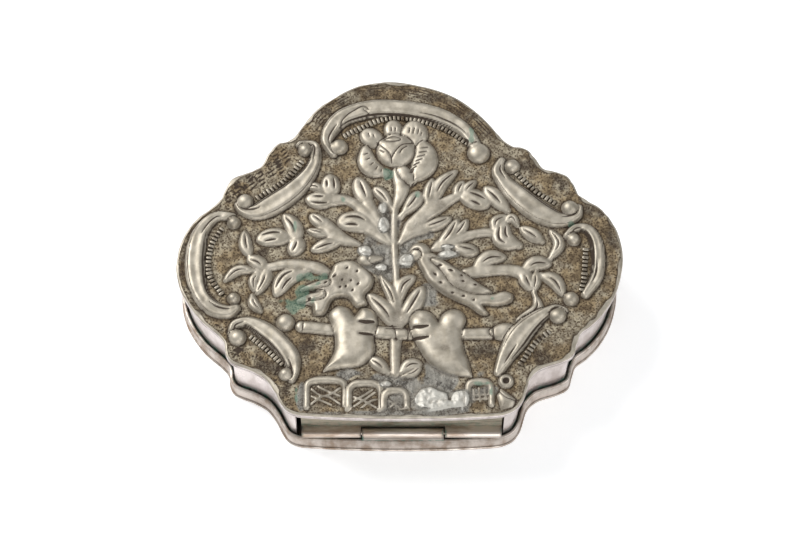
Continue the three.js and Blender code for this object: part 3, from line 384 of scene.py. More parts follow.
# Chased lines of the bud, the rod's wraps, the top scroll's curl and the facetted lump
CHASED_SHARES = [
    [(-0.105, 0.61), (-0.075, 0.575), (-0.045, 0.535), (-0.035, 0.48)],
    [(0.055, 0.605), (0.01, 0.59), (-0.02, 0.55), (-0.037, 0.51)],
    [(0.035, 0.585), (0.012, 0.565), (0.0, 0.54)], [(-0.09, 0.56), (-0.07, 0.545)],
    [(-0.07, 0.63), (-0.035, 0.643), (0.0, 0.635), (0.003, 0.622), (-0.035, 0.612), (-0.07, 0.622),
     (-0.07, 0.63)],
    [(-0.034, -0.474), (-0.02, -0.517), (-0.015, -0.565)],
    [(0.028, -0.482), (0.037, -0.523), (0.034, -0.565)], [(-0.425, -0.455), (-0.43, -0.505)],
    [(0.412, -0.49), (0.415, -0.545)],
    [(-0.2645, 0.666), (-0.267, 0.729), (-0.243, 0.773), (-0.201, 0.811), (-0.164, 0.83),
     (-0.1425, 0.811)],
    [(-0.165, 0.81), (-0.15, 0.795), (-0.14, 0.78)], [(0.43, -0.845), (0.46, -0.885), (0.505, -0.905)],
    [(-0.06, -0.497), (0.06, -0.503)],
]

# Short lines on the petals: place, length and angle in degrees
RIB_SHARES = [
    (-0.152, 0.54, 0.02, 20), (-0.142, 0.51, 0.02, 30), (-0.125, 0.48, 0.018, 45),
    (-0.105, 0.455, 0.017, 60), (-0.083, 0.44, 0.016, 75), (0.115, 0.58, 0.03, 8),
    (0.108, 0.553, 0.034, 10), (0.098, 0.527, 0.036, 15), (0.088, 0.502, 0.034, 20),
    (0.076, 0.478, 0.032, 25), (0.065, 0.455, 0.028, 30), (0.055, 0.435, 0.022, 35),
    (0.045, 0.685, 0.025, 80), (0.065, 0.683, 0.03, 80), (0.085, 0.675, 0.027, 78),
    (0.1, 0.663, 0.018, 75), (-0.038, 0.69, 0.02, 95), (-0.02, 0.688, 0.02, 88),
    (-0.14, 0.657, 0.018, 105), (-0.118, 0.65, 0.018, 108),
]

# Rows of four punched dashes on the upper left border: place of each row
DASH_PITCH_SHARE = 0.021
DASH_LENGTH_SHARE = 0.034
DASH_SHARES = [
    (-0.559, 0.505), (-0.52, 0.54), (-0.585, 0.455), (-0.63, 0.4), (-0.675, 0.375), (-0.735, 0.33),
    (-0.545, 0.47), (-0.78, 0.295),
]

# Old solder repairs, as lumps and as thin smears: centre, half length and half width
LUMP_SHARES = [
    (0.133, -0.898, 0.078, 0.072), (0.265, -0.9, 0.045, 0.078), (0.2, -0.93, 0.04, 0.03),
    (-0.157, -0.042, 0.04, 0.034), (-0.082, -0.138, 0.026, 0.022), (0.03, -0.1, 0.04, 0.05),
    (0.215, -0.06, 0.045, 0.028), (-0.077, 0.21, 0.02, 0.027), (-0.072, 0.115, 0.022, 0.045),
    (0.212, -0.021, 0.03, 0.014), (-0.062, -0.814, 0.03, 0.025),
]
SMEAR_SHARES = [
    (0.31, -0.87, 0.09, 0.07), (0.24, -0.79, 0.1, 0.05), (-0.07, -0.06, 0.13, 0.13),
    (0.04, -0.06, 0.12, 0.14), (0.07, 0.08, 0.09, 0.08), (-0.05, 0.1, 0.07, 0.13),
    (0.0, -0.79, 0.18, 0.09), (0.22, -0.79, 0.2, 0.09), (0.12, -0.88, 0.2, 0.12),
    (-0.43, -0.86, 0.02, 0.1), (-0.02, -0.9, 0.09, 0.08), (-0.2, -0.745, 0.1, 0.04),
    (0.13, -0.3, 0.05, 0.08), (0.0, -0.97, 0.4, 0.02),
]

# Patches where patina lies thick: centre, half length and half width
DIRT_SHARES = [
    (-0.322, -0.87, 0.085, 0.07), (-0.15, -0.89, 0.07, 0.07), (-0.01, -0.92, 0.06, 0.05),
    (0.35, -0.87, 0.055, 0.06), (0.45, -0.93, 0.03, 0.04), (-0.6, -0.72, 0.12, 0.05),
    (-0.5, -0.86, 0.03, 0.09), (-0.97, -0.1, 0.03, 0.2), (-0.93, 0.1, 0.04, 0.08),
    (-0.9, -0.38, 0.05, 0.08), (0.58, 0.49, 0.09, 0.06), (0.72, 0.38, 0.05, 0.06),
    (0.86, 0.2, 0.08, 0.06), (0.95, 0.05, 0.04, 0.1), (0.62, -0.66, 0.07, 0.06),
    (-0.36, 0.83, 0.06, 0.06), (0.2, -0.62, 0.03, 0.03), (0.38, -0.63, 0.09, 0.07),
    (-0.41, -0.6, 0.06, 0.07), (-0.36, 0.56, 0.05, 0.06), (0.03, -0.62, 0.06, 0.04),
    (-0.62, -0.05, 0.05, 0.04), (0.6, 0.02, 0.05, 0.05), (-0.25, -0.22, 0.1, 0.09),
    (0.25, -0.23, 0.13, 0.09), (-0.3, 0.87, 0.08, 0.05), (-0.16, 0.935, 0.1, 0.045),
    (0.02, 0.95, 0.12, 0.04), (0.19, 0.9, 0.1, 0.045), (0.33, 0.79, 0.07, 0.06), (0.43, 0.66, 0.05, 0.06),
    (0, -0.45, 0.1, 0.1), (0.18, 0.24, 0.04, 0.04),
]

# Verdigris: centre, half length and half width
VERDIGRIS_SHARES = [
    (-0.46, -0.335, 0.085, 0.055), (-0.385, -0.2, 0.065, 0.035), (-0.42, -0.27, 0.05, 0.05),
    (-0.05, 0.44, 0.028, 0.05), (0.33, 0.68, 0.013, 0.045), (0.325, 0.62, 0.015, 0.015),
    (0.08, 0.3, 0.012, 0.03), (0.77, 0.115, 0.02, 0.014), (-0.452, -0.86, 0.01, 0.06),
    (-0.255, 0.265, 0.02, 0.02), (0.35, -0.81, 0.05, 0.012), (0.4, -0.86, 0.01, 0.04),
    (0.41, -0.33, 0.012, 0.01), (-0.47, 0.09, 0.012, 0.035),
]


def place(share):
    """A place in metres from its shares of the half width and the half depth."""
    return np.array(share[:2]) * SPAN


def blend(a, b, t):
    """The value a share t of the way from a to b."""
    return a + (b - a) * t


def smoothstep(low, high, x):
    """Zero up to the first value, one from the second on and a smooth rise between them."""
    t = np.clip((x - low) / (high - low), 0, 1)
    return t * t * (3 - 2 * t)


def turning(a, b):
    """Positive where the second direction lies to the left of the first."""
    return a[0] * b[1] - a[1] * b[0]


def smooth_line(points, steps, closed=False):
    """Centripetal Catmull-Rom line through points, with a number of steps per span."""
    points = np.asarray(points, float)
    if closed:
        padded = [points[-1], *points, points[0], points[1]]
    else:
        padded = [2 * points[0] - points[1], *points, 2 * points[-1] - points[-2]]
    line = []
    for i in range(len(padded) - 3):
        line += smooth_span(padded[i:i + 4], steps)
    if not closed:
        line.append(points[-1])
    return np.array(line)


def smooth_span(p, steps):
    """Points of the smooth line from the second to just before the third of four places."""
    t = [0.0]
    for a, b in zip(p, p[1:]):
        t.append(t[-1] + max(np.linalg.norm((b - a)[:2]), 1e-9) ** 0.5)
    line = []
    for k in range(steps):
        x = t[1] + (t[2] - t[1]) * k / steps
        a1 = blend(p[0], p[1], (x - t[0]) / (t[1] - t[0]))
        a2 = blend(p[1], p[2], (x - t[1]) / (t[2] - t[1]))
        a3 = blend(p[2], p[3], (x - t[2]) / (t[3] - t[2]))
        b1 = blend(a1, a2, (x - t[0]) / (t[2] - t[0]))
        b2 = blend(a2, a3, (x - t[1]) / (t[3] - t[1]))
        line.append(blend(b1, b2, (x - t[1]) / (t[2] - t[1])))
    return line


def inset(loop, depth):
    """A counter-clockwise loop moved inward by a depth."""
    along = np.roll(loop, -1, 0) - np.roll(loop, 1, 0)
    along /= np.linalg.norm(along, axis=1)[:, None]
    return loop + np.stack([-along[:, 1], along[:, 0]], 1) * depth


def case_outline():
    """Plan outline of the case in metres."""
    return smooth_line([place(s) for s in OUTLINE_SHARES], OUTLINE_STEPS, closed=True)


def cushion(across):
    """Height share of a form that is flat on top and steep at its sides."""
    a = np.clip(np.abs(across), 0, 1)
    return 0.75 * np.sqrt(1 - a**6) + 0.25 * (1 - a**2)


def tapering(rows, steps=5):
    """Smooth line and half widths from rows of shares."""
    rows = smooth_line([(*place(r), r[2] * HALF_WIDTH) for r in rows], steps)
    return rows[:, :2], rows[:, 2]


def loop_depth(loop, x, y):
    """Distance from places to a closed loop, positive inside it."""
    shape = np.broadcast(x, y).shape
    nearest = np.full(shape, np.inf)
    inside = np.zeros(shape, bool)
    for a, b in zip(loop, np.roll(loop, -1, 0)):
        step = b - a
        t = ((x - a[0]) * step[0] + (y - a[1]) * step[1]) / max(step @ step, 1e-18)
        t = np.clip(t, 0, 1)
        nearest = np.minimum(nearest, np.hypot(x - a[0] - t * step[0], y - a[1] - t * step[1]))
        if a[1] != b[1]:
            crossing = a[0] + (y - a[1]) * step[0] / step[1]
            inside ^= ((a[1] > y) != (b[1] > y)) & (x < crossing)
    return np.where(inside, nearest, -nearest)


def short_line(u, v, length, degrees):
    """Three points of a short straight line about a place, in metres."""
    angle = math.radians(degrees)
    reach = length * HALF_WIDTH * np.array([math.cos(angle), math.sin(angle)])
    centre = place((u, v))
    return np.array([centre - reach / 2, centre, centre + reach / 2])


class Relief:
    """Height and finish of the embossed lid, worked out on a fine square grid."""

    def __init__(self, step, seed):
        self.step = step
        margin = 6 * step
        self.x = np.arange(-HALF_WIDTH - margin, HALF_WIDTH + margin, step)
        self.y = np.arange(-HALF_DEPTH - margin, HALF_DEPTH + margin, step)
        shape = (len(self.y), len(self.x))
        self.height = np.zeros(shape)
        self.gap = np.full(shape, FAR)
        self.line = np.full(shape, FAR)
        self.cut = np.zeros(shape)
        self.green = np.zeros(shape)
        self.solder = np.zeros(shape)
        self.dirt = np.zeros(shape)
        self.crease = np.zeros(shape)
        self.wear = np.zeros(shape)
        self.edge_wear = np.zeros(shape)
        self.random = np.random.default_rng(seed)

    def soften(self, field, radius):
        """Gaussian blur with a radius in metres."""
        rows, columns = field.shape
        fy = np.fft.fftfreq(rows, self.step)[:, None]
        fx = np.fft.rfftfreq(columns, self.step)[None, :]
        falloff = np.exp(-2 * (math.pi * radius) ** 2 * (fx**2 + fy**2))
        return np.fft.irfft2(np.fft.rfft2(field) * falloff, s=field.shape)

    def unevenness(self, radius):
        """Smooth random field with a standard deviation of one."""
        field = self.soften(self.random.standard_normal(self.height.shape), radius)
        return field / field.std()

    def window(self, low, high):
        """The part of the grid between two corners, with its x and y values."""
        rows = slice(*np.searchsorted(self.y, [low[1], high[1]]))
        columns = slice(*np.searchsorted(self.x, [low[0], high[0]]))
        return (rows, columns), self.x[columns][None, :], self.y[rows][:, None]

    def oval(self, row, reach):
        """Window round an oval row of shares and each place's share of its half sizes."""
        centre = place(row)
        half = np.array([row[2] * HALF_WIDTH, row[3] * HALF_DEPTH])
        window, x, y = self.window(centre - half * reach, centre + half * reach)
        return window, np.hypot((x - centre[0]) / half[0], (y - centre[1]) / half[1])

    def along(self, line, half):
        """Nearest place on a tapering line: share across, share along, gap to its edge."""
        window, x, y = self.window(line.min(0) - half.max() - REACH, line.max(0) + half.max() + REACH)
        lengths = np.linalg.norm(np.diff(line, axis=0), axis=1)
        reached = np.concatenate([[0], np.cumsum(lengths)]) / lengths.sum()
        shape = (y.shape[0], x.shape[1])
        gap = np.full(shape, np.inf)
        across = np.zeros(shape)
        share = np.zeros(shape)
        for i in range(len(line) - 1):
            step = line[i + 1] - line[i]
            t = ((x - line[i, 0]) * step[0] + (y - line[i, 1]) * step[1]) / (step @ step)
            t = np.clip(t, 0, 1)
            dx = x - line[i, 0] - t * step[0]
            dy = y - line[i, 1] - t * step[1]
            width = half[i] + (half[i + 1] - half[i]) * t
            distance = np.hypot(dx, dy)
            nearer = distance - width < gap
            gap = np.where(nearer, distance - width, gap)
            side = np.sign(turning(step, (dx, dy)))
            across = np.where(nearer, side * distance / width, across)
            share = np.where(nearer, blend(reached[i], reached[i + 1], t), share)
        return window, across, share, gap

    def add(self, window, height, gap, outlined):
        """Lays a form over what is there. An outlined form gets a chased line round it."""
        inside = gap < 0
        below = self.height[window]
        line = np.where(inside & (height >= below), FAR, self.line[window])
        cut = np.where(inside & (height >= below), 0, self.cut[window])
        if outlined:
            trench = np.exp(-(((gap - 0.08 * MM) / (0.15 * MM)) ** 2)) * (gap > 0)
            below = below * (1 - 0.6 * trench)
            line = np.where(inside, line, np.minimum(line, np.abs(gap - 0.07 * MM) - 0.13 * MM))
        self.line[window] = line
        self.cut[window] = cut
        self.height[window] = np.maximum(below, height)
        self.gap[window] = np.minimum(self.gap[window], gap)

    def stroke(self, rows, crest, outlined=False, steps=5, thin_end=0.6, hollow=0.0):
        """Raises a ridge along tapering rows of shares, with a hollow along its top if asked."""
        line, half = tapering(rows, steps)
        window, across, share, gap = self.along(line, half)
        width = np.interp(share, np.linspace(0, 1, len(half)), half)
        lift = blend(thin_end, 1.0, np.clip(width / half.max(), 0, 1))
        body = cushion(across) - hollow * np.exp(-((across / 0.45) ** 2))
        self.add(window, crest * lift * body, gap, outlined)

    def leaf(self, row, crest, slits=1, outlined=False):
        """Raises a leaf or petal with engraved slits along its middle."""
        u0, v0, u1, v1, u2, v2, half_share, fullness = row
        line = smooth_line([place((u0, v0)), place((u1, v1)), place((u2, v2))], LEAF_STEPS)
        t = np.linspace(0, 1, len(line))
        swell = np.sin(math.pi * t**fullness) ** 0.65
        foot = 0.42 * (1 - t)
        half = LEAF_FULLNESS * half_share * HALF_WIDTH * np.maximum(swell, foot) + 0.03 * MM
        window, across, share, gap = self.along(line, half)
        lift = blend(0.62, 1.0, np.sin(math.pi * np.clip(share, 0, 1)))
        self.add(window, crest * lift * cushion(across), gap, outlined)
        self.slit_leaf(line, half.max(), slits)

    def slit_leaf(self, line, width, slits):
        """Cuts one slit near a leaf's middle, or a long and a short one on either side of it."""
        turn = np.sign(turning(line[LEAF_STEPS] - line[0], line[-1] - line[LEAF_STEPS])) or 1.0
        normal = np.stack([line[0, 1] - line[-1, 1], line[-1, 0] - line[0, 0]])
        normal /= np.linalg.norm(normal)
        for k in range(slits):
            offset = (0.1 if slits == 1 else 0.38 * (k * 2 - 1)) * width * turn
            span = slice(4, 13) if k == 0 else slice(6, 12)
            slit = line[span] + normal * offset
            middle = np.sin(math.pi * np.linspace(0.08, 0.94, len(slit)))
            self.engrave(slit, 0.03 * MM + 0.075 * width * middle, 0.2 * MM)

    def dome(self, row, crest, outlined=True, hollow=0.0, power=2.2):
        """Raises an oval dome, with a hollow in its top if asked."""
        centre = place(row)
        half = np.array([row[2] * HALF_WIDTH, row[3] * HALF_DEPTH])
        window, x, y = self.window(centre - half - REACH, centre + half + REACH)
        ratio = np.hypot((x - centre[0]) / half[0], (y - centre[1]) / half[1])
        body = np.sqrt(np.clip(1 - ratio**power, 0, 1))
        body *= 1 - hollow * np.exp(-((ratio / 0.42) ** 2))
        self.add(window, crest * body, (ratio - 1) * half.min(), outlined)
        if hollow:
            self.line[window] = np.minimum(self.line[window], (ratio - 0.42) * half.min())

    def ball(self, row, crest, hollow=0.0):
        """Raises a round dome from its place and radius."""
        u, v, radius = row
        self.dome((u, v, radius, radius * HALF_WIDTH / HALF_DEPTH), crest, hollow=hollow)

    def polygon(self, loop, crest, shoulder):
        """Raises a cushion inside a loop, with a rounded shoulder of a given width."""
        window, x, y = self.window(loop.min(0) - REACH, loop.max(0) + REACH)
        depth = loop_depth(loop, x, y)
        rise = np.sqrt(np.clip(1 - (1 - np.clip(depth / shoulder, 0, 1)) ** 2, 0, 1))
        self.add(window, crest * rise, -depth, outlined=True)

    def engrave(self, line, half, depth):
        """Cuts a line with given half widths."""
        half = np.broadcast_to(np.asarray(half, float), len(line))
        window, across, share, gap = self.along(line, half)
        self.line[window] = np.minimum(self.line[window], gap)
        cut = depth * np.exp(-((np.clip(gap + 0.05 * MM, 0, None) / (0.12 * MM)) ** 2))
        self.cut[window] = np.maximum(self.cut[window], cut)

    def stain(self, field, rows, strength, ragged):
        """Adds soft ragged ovals to a finish field."""
        for row in rows:
            window, ratio = self.oval(row, 1.7)
            patch = 1 - smoothstep(0.3, 1.0, ratio + 0.25 * ragged[window])
            field[window] = np.maximum(field[window], strength * patch * (ratio < 1.6))

    def sample(self, field, points):
        """Field values at points, with linear interpolation."""
        i = np.clip((points[:, 0] - self.x[0]) / self.step, 0, len(self.x) - 1.001)
        j = np.clip((points[:, 1] - self.y[0]) / self.step, 0, len(self.y) - 1.001)
        i0 = i.astype(int)
        j0 = j.astype(int)
        low = blend(field[j0, i0], field[j0, i0 + 1], i - i0)
        high = blend(field[j0 + 1, i0], field[j0 + 1, i0 + 1], i - i0)
        return blend(low, high, j - j0)


def emboss(sizes):
    """The whole relief: forms from the lowest to the highest, then engraved lines and stains."""
    relief = Relief(sizes.relief_step, sizes.seed)
    tree(relief, sizes)
    arcade(relief, sizes.arch_height)
    for rows in ROD_SHARES:
        relief.stroke(rows, sizes.rod_height, outlined=True, thin_end=0.8)
    rose(relief, sizes)
    birds(relief, sizes.bird_height)
    scrolls(relief, sizes)
    for sides in HEART_SHARES:
        relief.polygon(heart_loop(sides), sizes.heart_height, 2.4 * MM)
    chase(relief)
    score_top_border(relief)
    punch_side_border(relief)
    age_relief(relief)
    return relief


def tree(relief, sizes):
    """Stem, branches and leaves. A wide leaf has two slits, a narrow one has one."""
    for rows in BRANCH_SHARES:
        relief.stroke([(u, v, BRANCH_FULLNESS * half) for u, v, half in rows], sizes.branch_height)
    for row in LEAF_SHARES:
        relief.leaf(row, sizes.leaf_height, slits=2 if row[6] > WIDE_LEAF_SHARE else 1)


def arcade(relief, height):
    """Arches along the front edge, the raised strokes inside them and the facetted end."""
    for shares in ARCH_SHARES:
        arch(relief, shares, height)
    for rows in HATCH_SHARES:
        relief.stroke([(u, v, HATCH_HALF_SHARE) for u, v in rows], 0.45 * height)
    relief.polygon(np.array([place(p) for p in FACET_SHARES]), height, 1.2 * MM)


def arch(relief, shares, height):
    """One arch of the arcade: two legs under a flattened crown."""
    left, right, foot, spring, crown = shares
    middle = (left + right) / 2
    rows = [(left, foot, ARCH_HALF_SHARE)]
    for i in range(9):
        angle = math.pi * (1 - i / 8)
        reach = math.copysign(abs(math.cos(angle)) ** 0.6, math.cos(angle))
        u = middle + (right - left) / 2 * reach
        v = spring + (crown - spring) * math.sin(angle) ** 0.8
        rows.append((u, v, ARCH_HALF_SHARE + 0.004 * math.sin(angle)))
    rows.append((right, foot, ARCH_HALF_SHARE))
    relief.stroke(rows, height, outlined=True, steps=3)


def rose(relief, sizes):
    """Open petals round a closed bud."""
    for row in PETAL_SHARES:
        relief.leaf(row, sizes.leaf_height, slits=0, outlined=True)
    relief.dome(BUD_SHARES, sizes.rose_height, power=3.5)


def birds(relief, height):
    """Both birds: bodies, heads, beaks and tail feathers, then the near wing."""
    for loop in BIRD_SHARES:
        relief.polygon(smooth_line([place(p) for p in loop], 3, closed=True), height, 0.85 * MM)
    for row in HEAD_SHARES:
        relief.dome(row, height, outlined=False)
    for rows in BEAK_SHARES:
        relief.stroke(rows, height * 0.8, outlined=True)
    wing = smooth_line([place(p) for p in WING_SHARES], 4, closed=True)
    relief.polygon(wing, height + 0.2 * MM, 0.9 * MM)


def scrolls(relief, sizes):
    """All C-scrolls with the balls at their ends, and the hollow ball by the arcade."""
    for rows in SCROLL_SHARES:
        scroll(relief, rows, sizes.scroll_height)
    for row in BALL_SHARES:
        relief.ball(row, sizes.ball_height)
    relief.ball(RING_BALL_SHARE, sizes.ball_height * 0.7, hollow=1.3)


def scroll(relief, rows, height):
    """A C-scroll: a broad hollow band with four lines cut along it."""
    rows = [(u, v, max(SCROLL_FULLNESS * half, 0.019)) for u, v, half in rows]
    relief.stroke(rows, height, outlined=True, thin_end=0.8, hollow=0.2)
    line, half = tapering(rows)
    normal = np.gradient(line, axis=0)
    normal = np.stack([-normal[:, 1], normal[:, 0]], 1) / np.linalg.norm(normal, axis=1)[:, None]
    inward = -np.sign(turning(line[-1] - line[0], line[len(line) // 2] - line[0]))
    for low, high, offset in SCROLL_LINES:
        span = slice(int(low * len(line)), int(high * len(line)))
        crescent = line[span] + normal[span] * (inward * offset * half[span])[:, None]
        swell = np.sin(math.pi * np.linspace(0.05, 0.95, len(crescent)))
        width = 0.03 * MM if offset < 0 else 0.12 * MM
        relief.engrave(crescent, 0.02 * MM + width * swell, 0.17 * MM)


def heart_loop(sides):
    """Closed outline of a heart, from its two sides."""
    return np.concatenate([smooth_line([place(s) for s in side], 6)[:-1] for side in sides])


def chase(relief):
    """Engraved lines of the rose, the beading, the petals, the birds, the hearts and the left border."""
    for rows in CHASED_SHARES:
        relief.engrave(smooth_line([place(p) for p in rows], 5), 0.09 * MM, 0.16 * MM)
    for rows in BEAD_SHARES:
        relief.engrave(smooth_line([place(p) for p in rows], 5), 0.42 * MM, 0.08 * MM)
    for row in RIB_SHARES:
        relief.engrave(short_line(*row), 0.085 * MM, 0.15 * MM)
    for row in SPOT_SHARES:
        relief.engrave(short_line(*row), [0.08 * MM, 0.22 * MM, 0.08 * MM], 0.2 * MM)
    for rows in SLOT_SHARES:
        line, half = tapering(rows)
        relief.engrave(line, half * 0.6, 0.25 * MM)
    for u, v in DASH_SHARES:
        for k in range(4):
            shift = (k - 1.5) * DASH_PITCH_SHARE
            slant = relief.random.uniform(28, 46)
            dash = short_line(u + 0.3 * shift, v - 1.1 * shift, DASH_LENGTH_SHARE, slant)
            relief.engrave(dash, [0.05 * MM, 0.17 * MM, 0.05 * MM], 0.2 * MM)


def score_top_border(relief):
    """Rows of fine broken lines that follow the edge above the top scroll."""
    outline = case_outline()
    first, last = (round(share * len(outline)) for share in TOP_BORDER_SPAN)
    for depth in (0.9, 1.5, 2.2, 2.8):
        line = inset(outline, depth * MM)[first:last]
        for start in range(0, len(line) - 8, 13):
            score = line[start:start + relief.random.integers(6, 13)]
            swell = np.sin(math.pi * np.linspace(0.02, 0.98, len(score)))
            relief.engrave(score, (0.02 + 0.07 * swell) * MM, 0.07 * MM)


def punch_side_border(relief):
    """Short punched strokes on the open ground of the left border."""
    outline = case_outline()
    stops = np.linspace(0, 1, len(outline))
    low, high = SIDE_BORDER_SPAN
    for _ in range(PUNCH_COUNT):
        at = relief.random.choice(np.nonzero((stops > low) & (stops < high))[0])
        along = outline[(at + 1) % len(outline)] - outline[at]
        along /= np.linalg.norm(along)
        inward = np.array([-along[1], along[0]])
        start = outline[at] + inward * relief.random.uniform(0.7, 3.0) * MM
        lean = relief.random.uniform(-0.5, 0.5)
        end = start + (inward + along * lean) * relief.random.uniform(0.35, 0.8) * MM
        if relief.sample(relief.gap, np.array([start, end])).min() > 0.25 * MM:
            relief.engrave(np.linspace(start, end, 3), [0.03 * MM, 0.13 * MM, 0.03 * MM], 0.14 * MM)


def age_relief(relief):
    """Hammers the ground, lays the old solder on and works out where patina and painted shade go."""
    coarse = relief.unevenness(0.9 * MM)
    ragged = relief.unevenness(0.4 * MM)
    fine = relief.unevenness(0.2 * MM)
    ground = smoothstep(-0.02 * MM, 0.15 * MM, relief.gap)
    chased = np.exp(-(((relief.gap - 0.14 * MM) / (0.17 * MM)) ** 2))
    relief.stain(relief.solder, SMEAR_SHARES, 0.9, coarse)
    relief.stain(relief.dirt, DIRT_SHARES, 1.0, ragged)
    relief.stain(relief.green, VERDIGRIS_SHARES, 0.95, ragged)
    relief.height -= relief.cut + chased * 0.12 * MM
    relief.solder *= blend(0.2, 1.0, ground)
    relief.height = blend(relief.height, relief.soften(relief.height, 0.5 * MM), 0.35 * relief.solder)
    for row in LUMP_SHARES:
        solder_lump(relief, row, coarse, ragged, fine)
    relief.height += ground * (0.035 * coarse + 0.03 * fine) * MM + (0.022 * coarse + 0.014 * ragged) * MM
    relief.height = relief.soften(relief.height, 0.06 * MM)
    narrow = relief.soften(relief.height, 0.4 * MM) - relief.height
    wide = relief.soften(relief.height, 1.2 * MM) - relief.height
    # Crease: the hollows, where brown patina and painted shade are put
    relief.crease = smoothstep(0.0, 0.22, narrow / MM)
    relief.wear = smoothstep(0.05, 0.5, -wide / MM)
    relief.edge_wear = np.clip(coarse, -0.7, 1.5)
    relief.gap = np.clip(relief.gap, -FAR, FAR)
    relief.line = np.clip(relief.line, -FAR, FAR)
    relief.solder *= 1 - 0.6 * relief.wear * (relief.solder < 0.95)


def solder_lump(relief, row, coarse, ragged, fine):
    """A granular lump of solder that lies over what is there."""
    window, ratio = relief.oval(row, 1.5)
    ratio = np.abs(ratio + 0.14 * coarse[window])
    lump = np.sqrt(np.clip(1 - ratio**2.5, 0, 1)) * 0.75 * MM
    lump *= 1 + 0.09 * fine[window] + 0.06 * ragged[window]
    relief.height[window] = np.maximum(relief.height[window], lump + 0.35 * relief.height[window])
    relief.solder[window] = np.maximum(relief.solder[window], smoothstep(1.1, 0.85, ratio))
    relief.line[window] = np.where(ratio < 1, FAR, relief.line[window])


def grid_patch(loop, step):
    """Square cells inside a loop, with triangles that join them to the loop.

    Returns the points, the loop's first, and the faces, counter-clockwise seen from above."""
    low = loop.min(0)
    high = loop.max(0)
    x = np.arange(low[0], high[0] + step, step)
    y = np.arange(low[1], high[1] + step, step)
    inside = loop_depth(loop, x[None, :], y[:, None]) > 0.45 * step
    cells = inside[:-1, :-1] & inside[1:, :-1] & inside[:-1, 1:] & inside[1:, 1:]
    used = np.zeros(inside.shape, bool)
    for dy in (0, 1):
        for dx in (0, 1):
            used[dy:dy + cells.shape[0], dx:dx + cells.shape[1]] |= cells
    number = np.full(inside.shape, -1)
    number[used] = np.arange(used.sum()) + len(loop)
    j, i = np.nonzero(cells)
    quads = np.stack([number[j, i], number[j, i + 1], number[j + 1, i + 1], number[j + 1, i]], 1)
    rows, columns = np.nonzero(used)
    points = np.concatenate([loop, np.stack([x[columns], y[rows]], 1)])
    joined = joining_faces(points, len(loop), open_sides(cells, quads))
    centres = np.array([points[face].mean(0) for face in joined])
    cell = ((centres - low) // step).astype(int)
    cell = np.clip(cell, 0, np.array(cells.shape)[::-1] - 1)
    wanted = ~cells[cell[:, 1], cell[:, 0]] & (loop_depth(loop, centres[:, 0], centres[:, 1]) > 0)
    triangles = [tuple(face) for face, keep in zip(joined, wanted) if keep]
    return points, [tuple(q) for q in quads.tolist()] + triangles


def open_sides(cells, quads):
    """Sides of the square cells that have no other cell beyond them."""
    j, i = np.nonzero(cells)
    padded = np.pad(cells, 1)
    around = [padded[:-2, 1:-1], padded[1:-1, 2:], padded[2:, 1:-1], padded[1:-1, :-2]]
    sides = []
    for k, other in enumerate(around):
        sides.append(quads[~other[j, i]][:, [k, (k + 1) % 4]])
    return np.concatenate(sides)


def joining_faces(points, count, sides):
    """Triangles between the first points, which form a loop, and the open sides inside it."""
    chosen = np.concatenate([np.arange(count), np.unique(sides)])
    where = {int(p): k for k, p in enumerate(chosen)}
    verts = [Vector(points[p] / MM) for p in chosen]
    lines = [(k, (k + 1) % count) for k in range(count)]
    lines += [(where[int(a)], where[int(b)]) for a, b in sides]
    made = geometry.delaunay_2d_cdt(verts, lines, [], 0, 1e-7)
    faces = made[2]
    sources = made[3]
    return [[int(chosen[sources[k][0]]) for k in face] for face in faces]


class Skin:
    """Points and faces of a piece, gathered loop by loop."""

    def __init__(self):
        self.points = np.zeros((0, 3))
        self.faces = []

    def add(self, points):
        """Adds points and returns the number of the first one."""
        first = len(self.points)
        self.points = np.concatenate([self.points, points])
        return first

    def level(self, flat, z):
        """Adds plan places at one height or at a height each."""
        return self.add(np.column_stack([flat, np.broadcast_to(z, len(flat))]))

    def band(self, first, second, count):
        """Joins two closed loops of as many points."""
        for i in range(count):
            k = (i + 1) % count
            self.faces.append((first + i, first + k, second + k, second + i))

    def bands(self, firsts, count):
        """Joins each loop to the next."""
        for first, second in zip(firsts, firsts[1:]):
            self.band(first, second, count)

    def patch(self, first, faces, turned=False):
        """Adds faces whose numbers count from a first point, turned over if asked."""
        for face in faces:
            numbers = tuple(first + k for k in face)
            self.faces.append(numbers[::-1] if turned else numbers)

    def face_outward(self):
        """Turns all faces over if they face inward."""
        volume = 0.0
        for face in self.faces:
            a = self.points[face[0]]
            for k in range(1, len(face) - 1):
                volume += np.dot(a, np.cross(self.points[face[k]], self.points[face[k + 1]]))
        if volume < 0:
            self.faces = [face[::-1] for face in self.faces]


def new_piece(name, skin, material, sharp=35.0):
    """A mesh object at the origin, with its edges sharp past an angle."""
    mesh = bpy.data.meshes.new(name)
    mesh.from_pydata([tuple(p) for p in skin.points], [], skin.faces)
    mesh.materials.append(material)
    mark_sharp(mesh, sharp)
    return link_piece(name, mesh)


def link_piece(name, mesh):
    """A new object that shows a mesh."""
    piece = bpy.data.objects.new(name, mesh)
    bpy.context.scene.collection.objects.link(piece)
    return piece


def mark_sharp(mesh, sharp):
    """Shades a mesh smooth, except across edges that turn by more than an angle."""
    work = bmesh.new()
    work.from_mesh(mesh)
    limit = math.radians(sharp)
    for face in work.faces:
        face.smooth = True
    for edge in work.edges:
        if len(edge.link_faces) == 2:
            edge.smooth = edge.calc_face_angle(0.0) < limit
    work.to_mesh(mesh)
    work.free()


def paint(mesh, name, values):
    """Stores one number for each vertex under a name that a material reads."""
    attribute = mesh.attributes.new(name, "FLOAT", "POINT")
    attribute.data.foreach_set("value", np.asarray(values, np.float32))


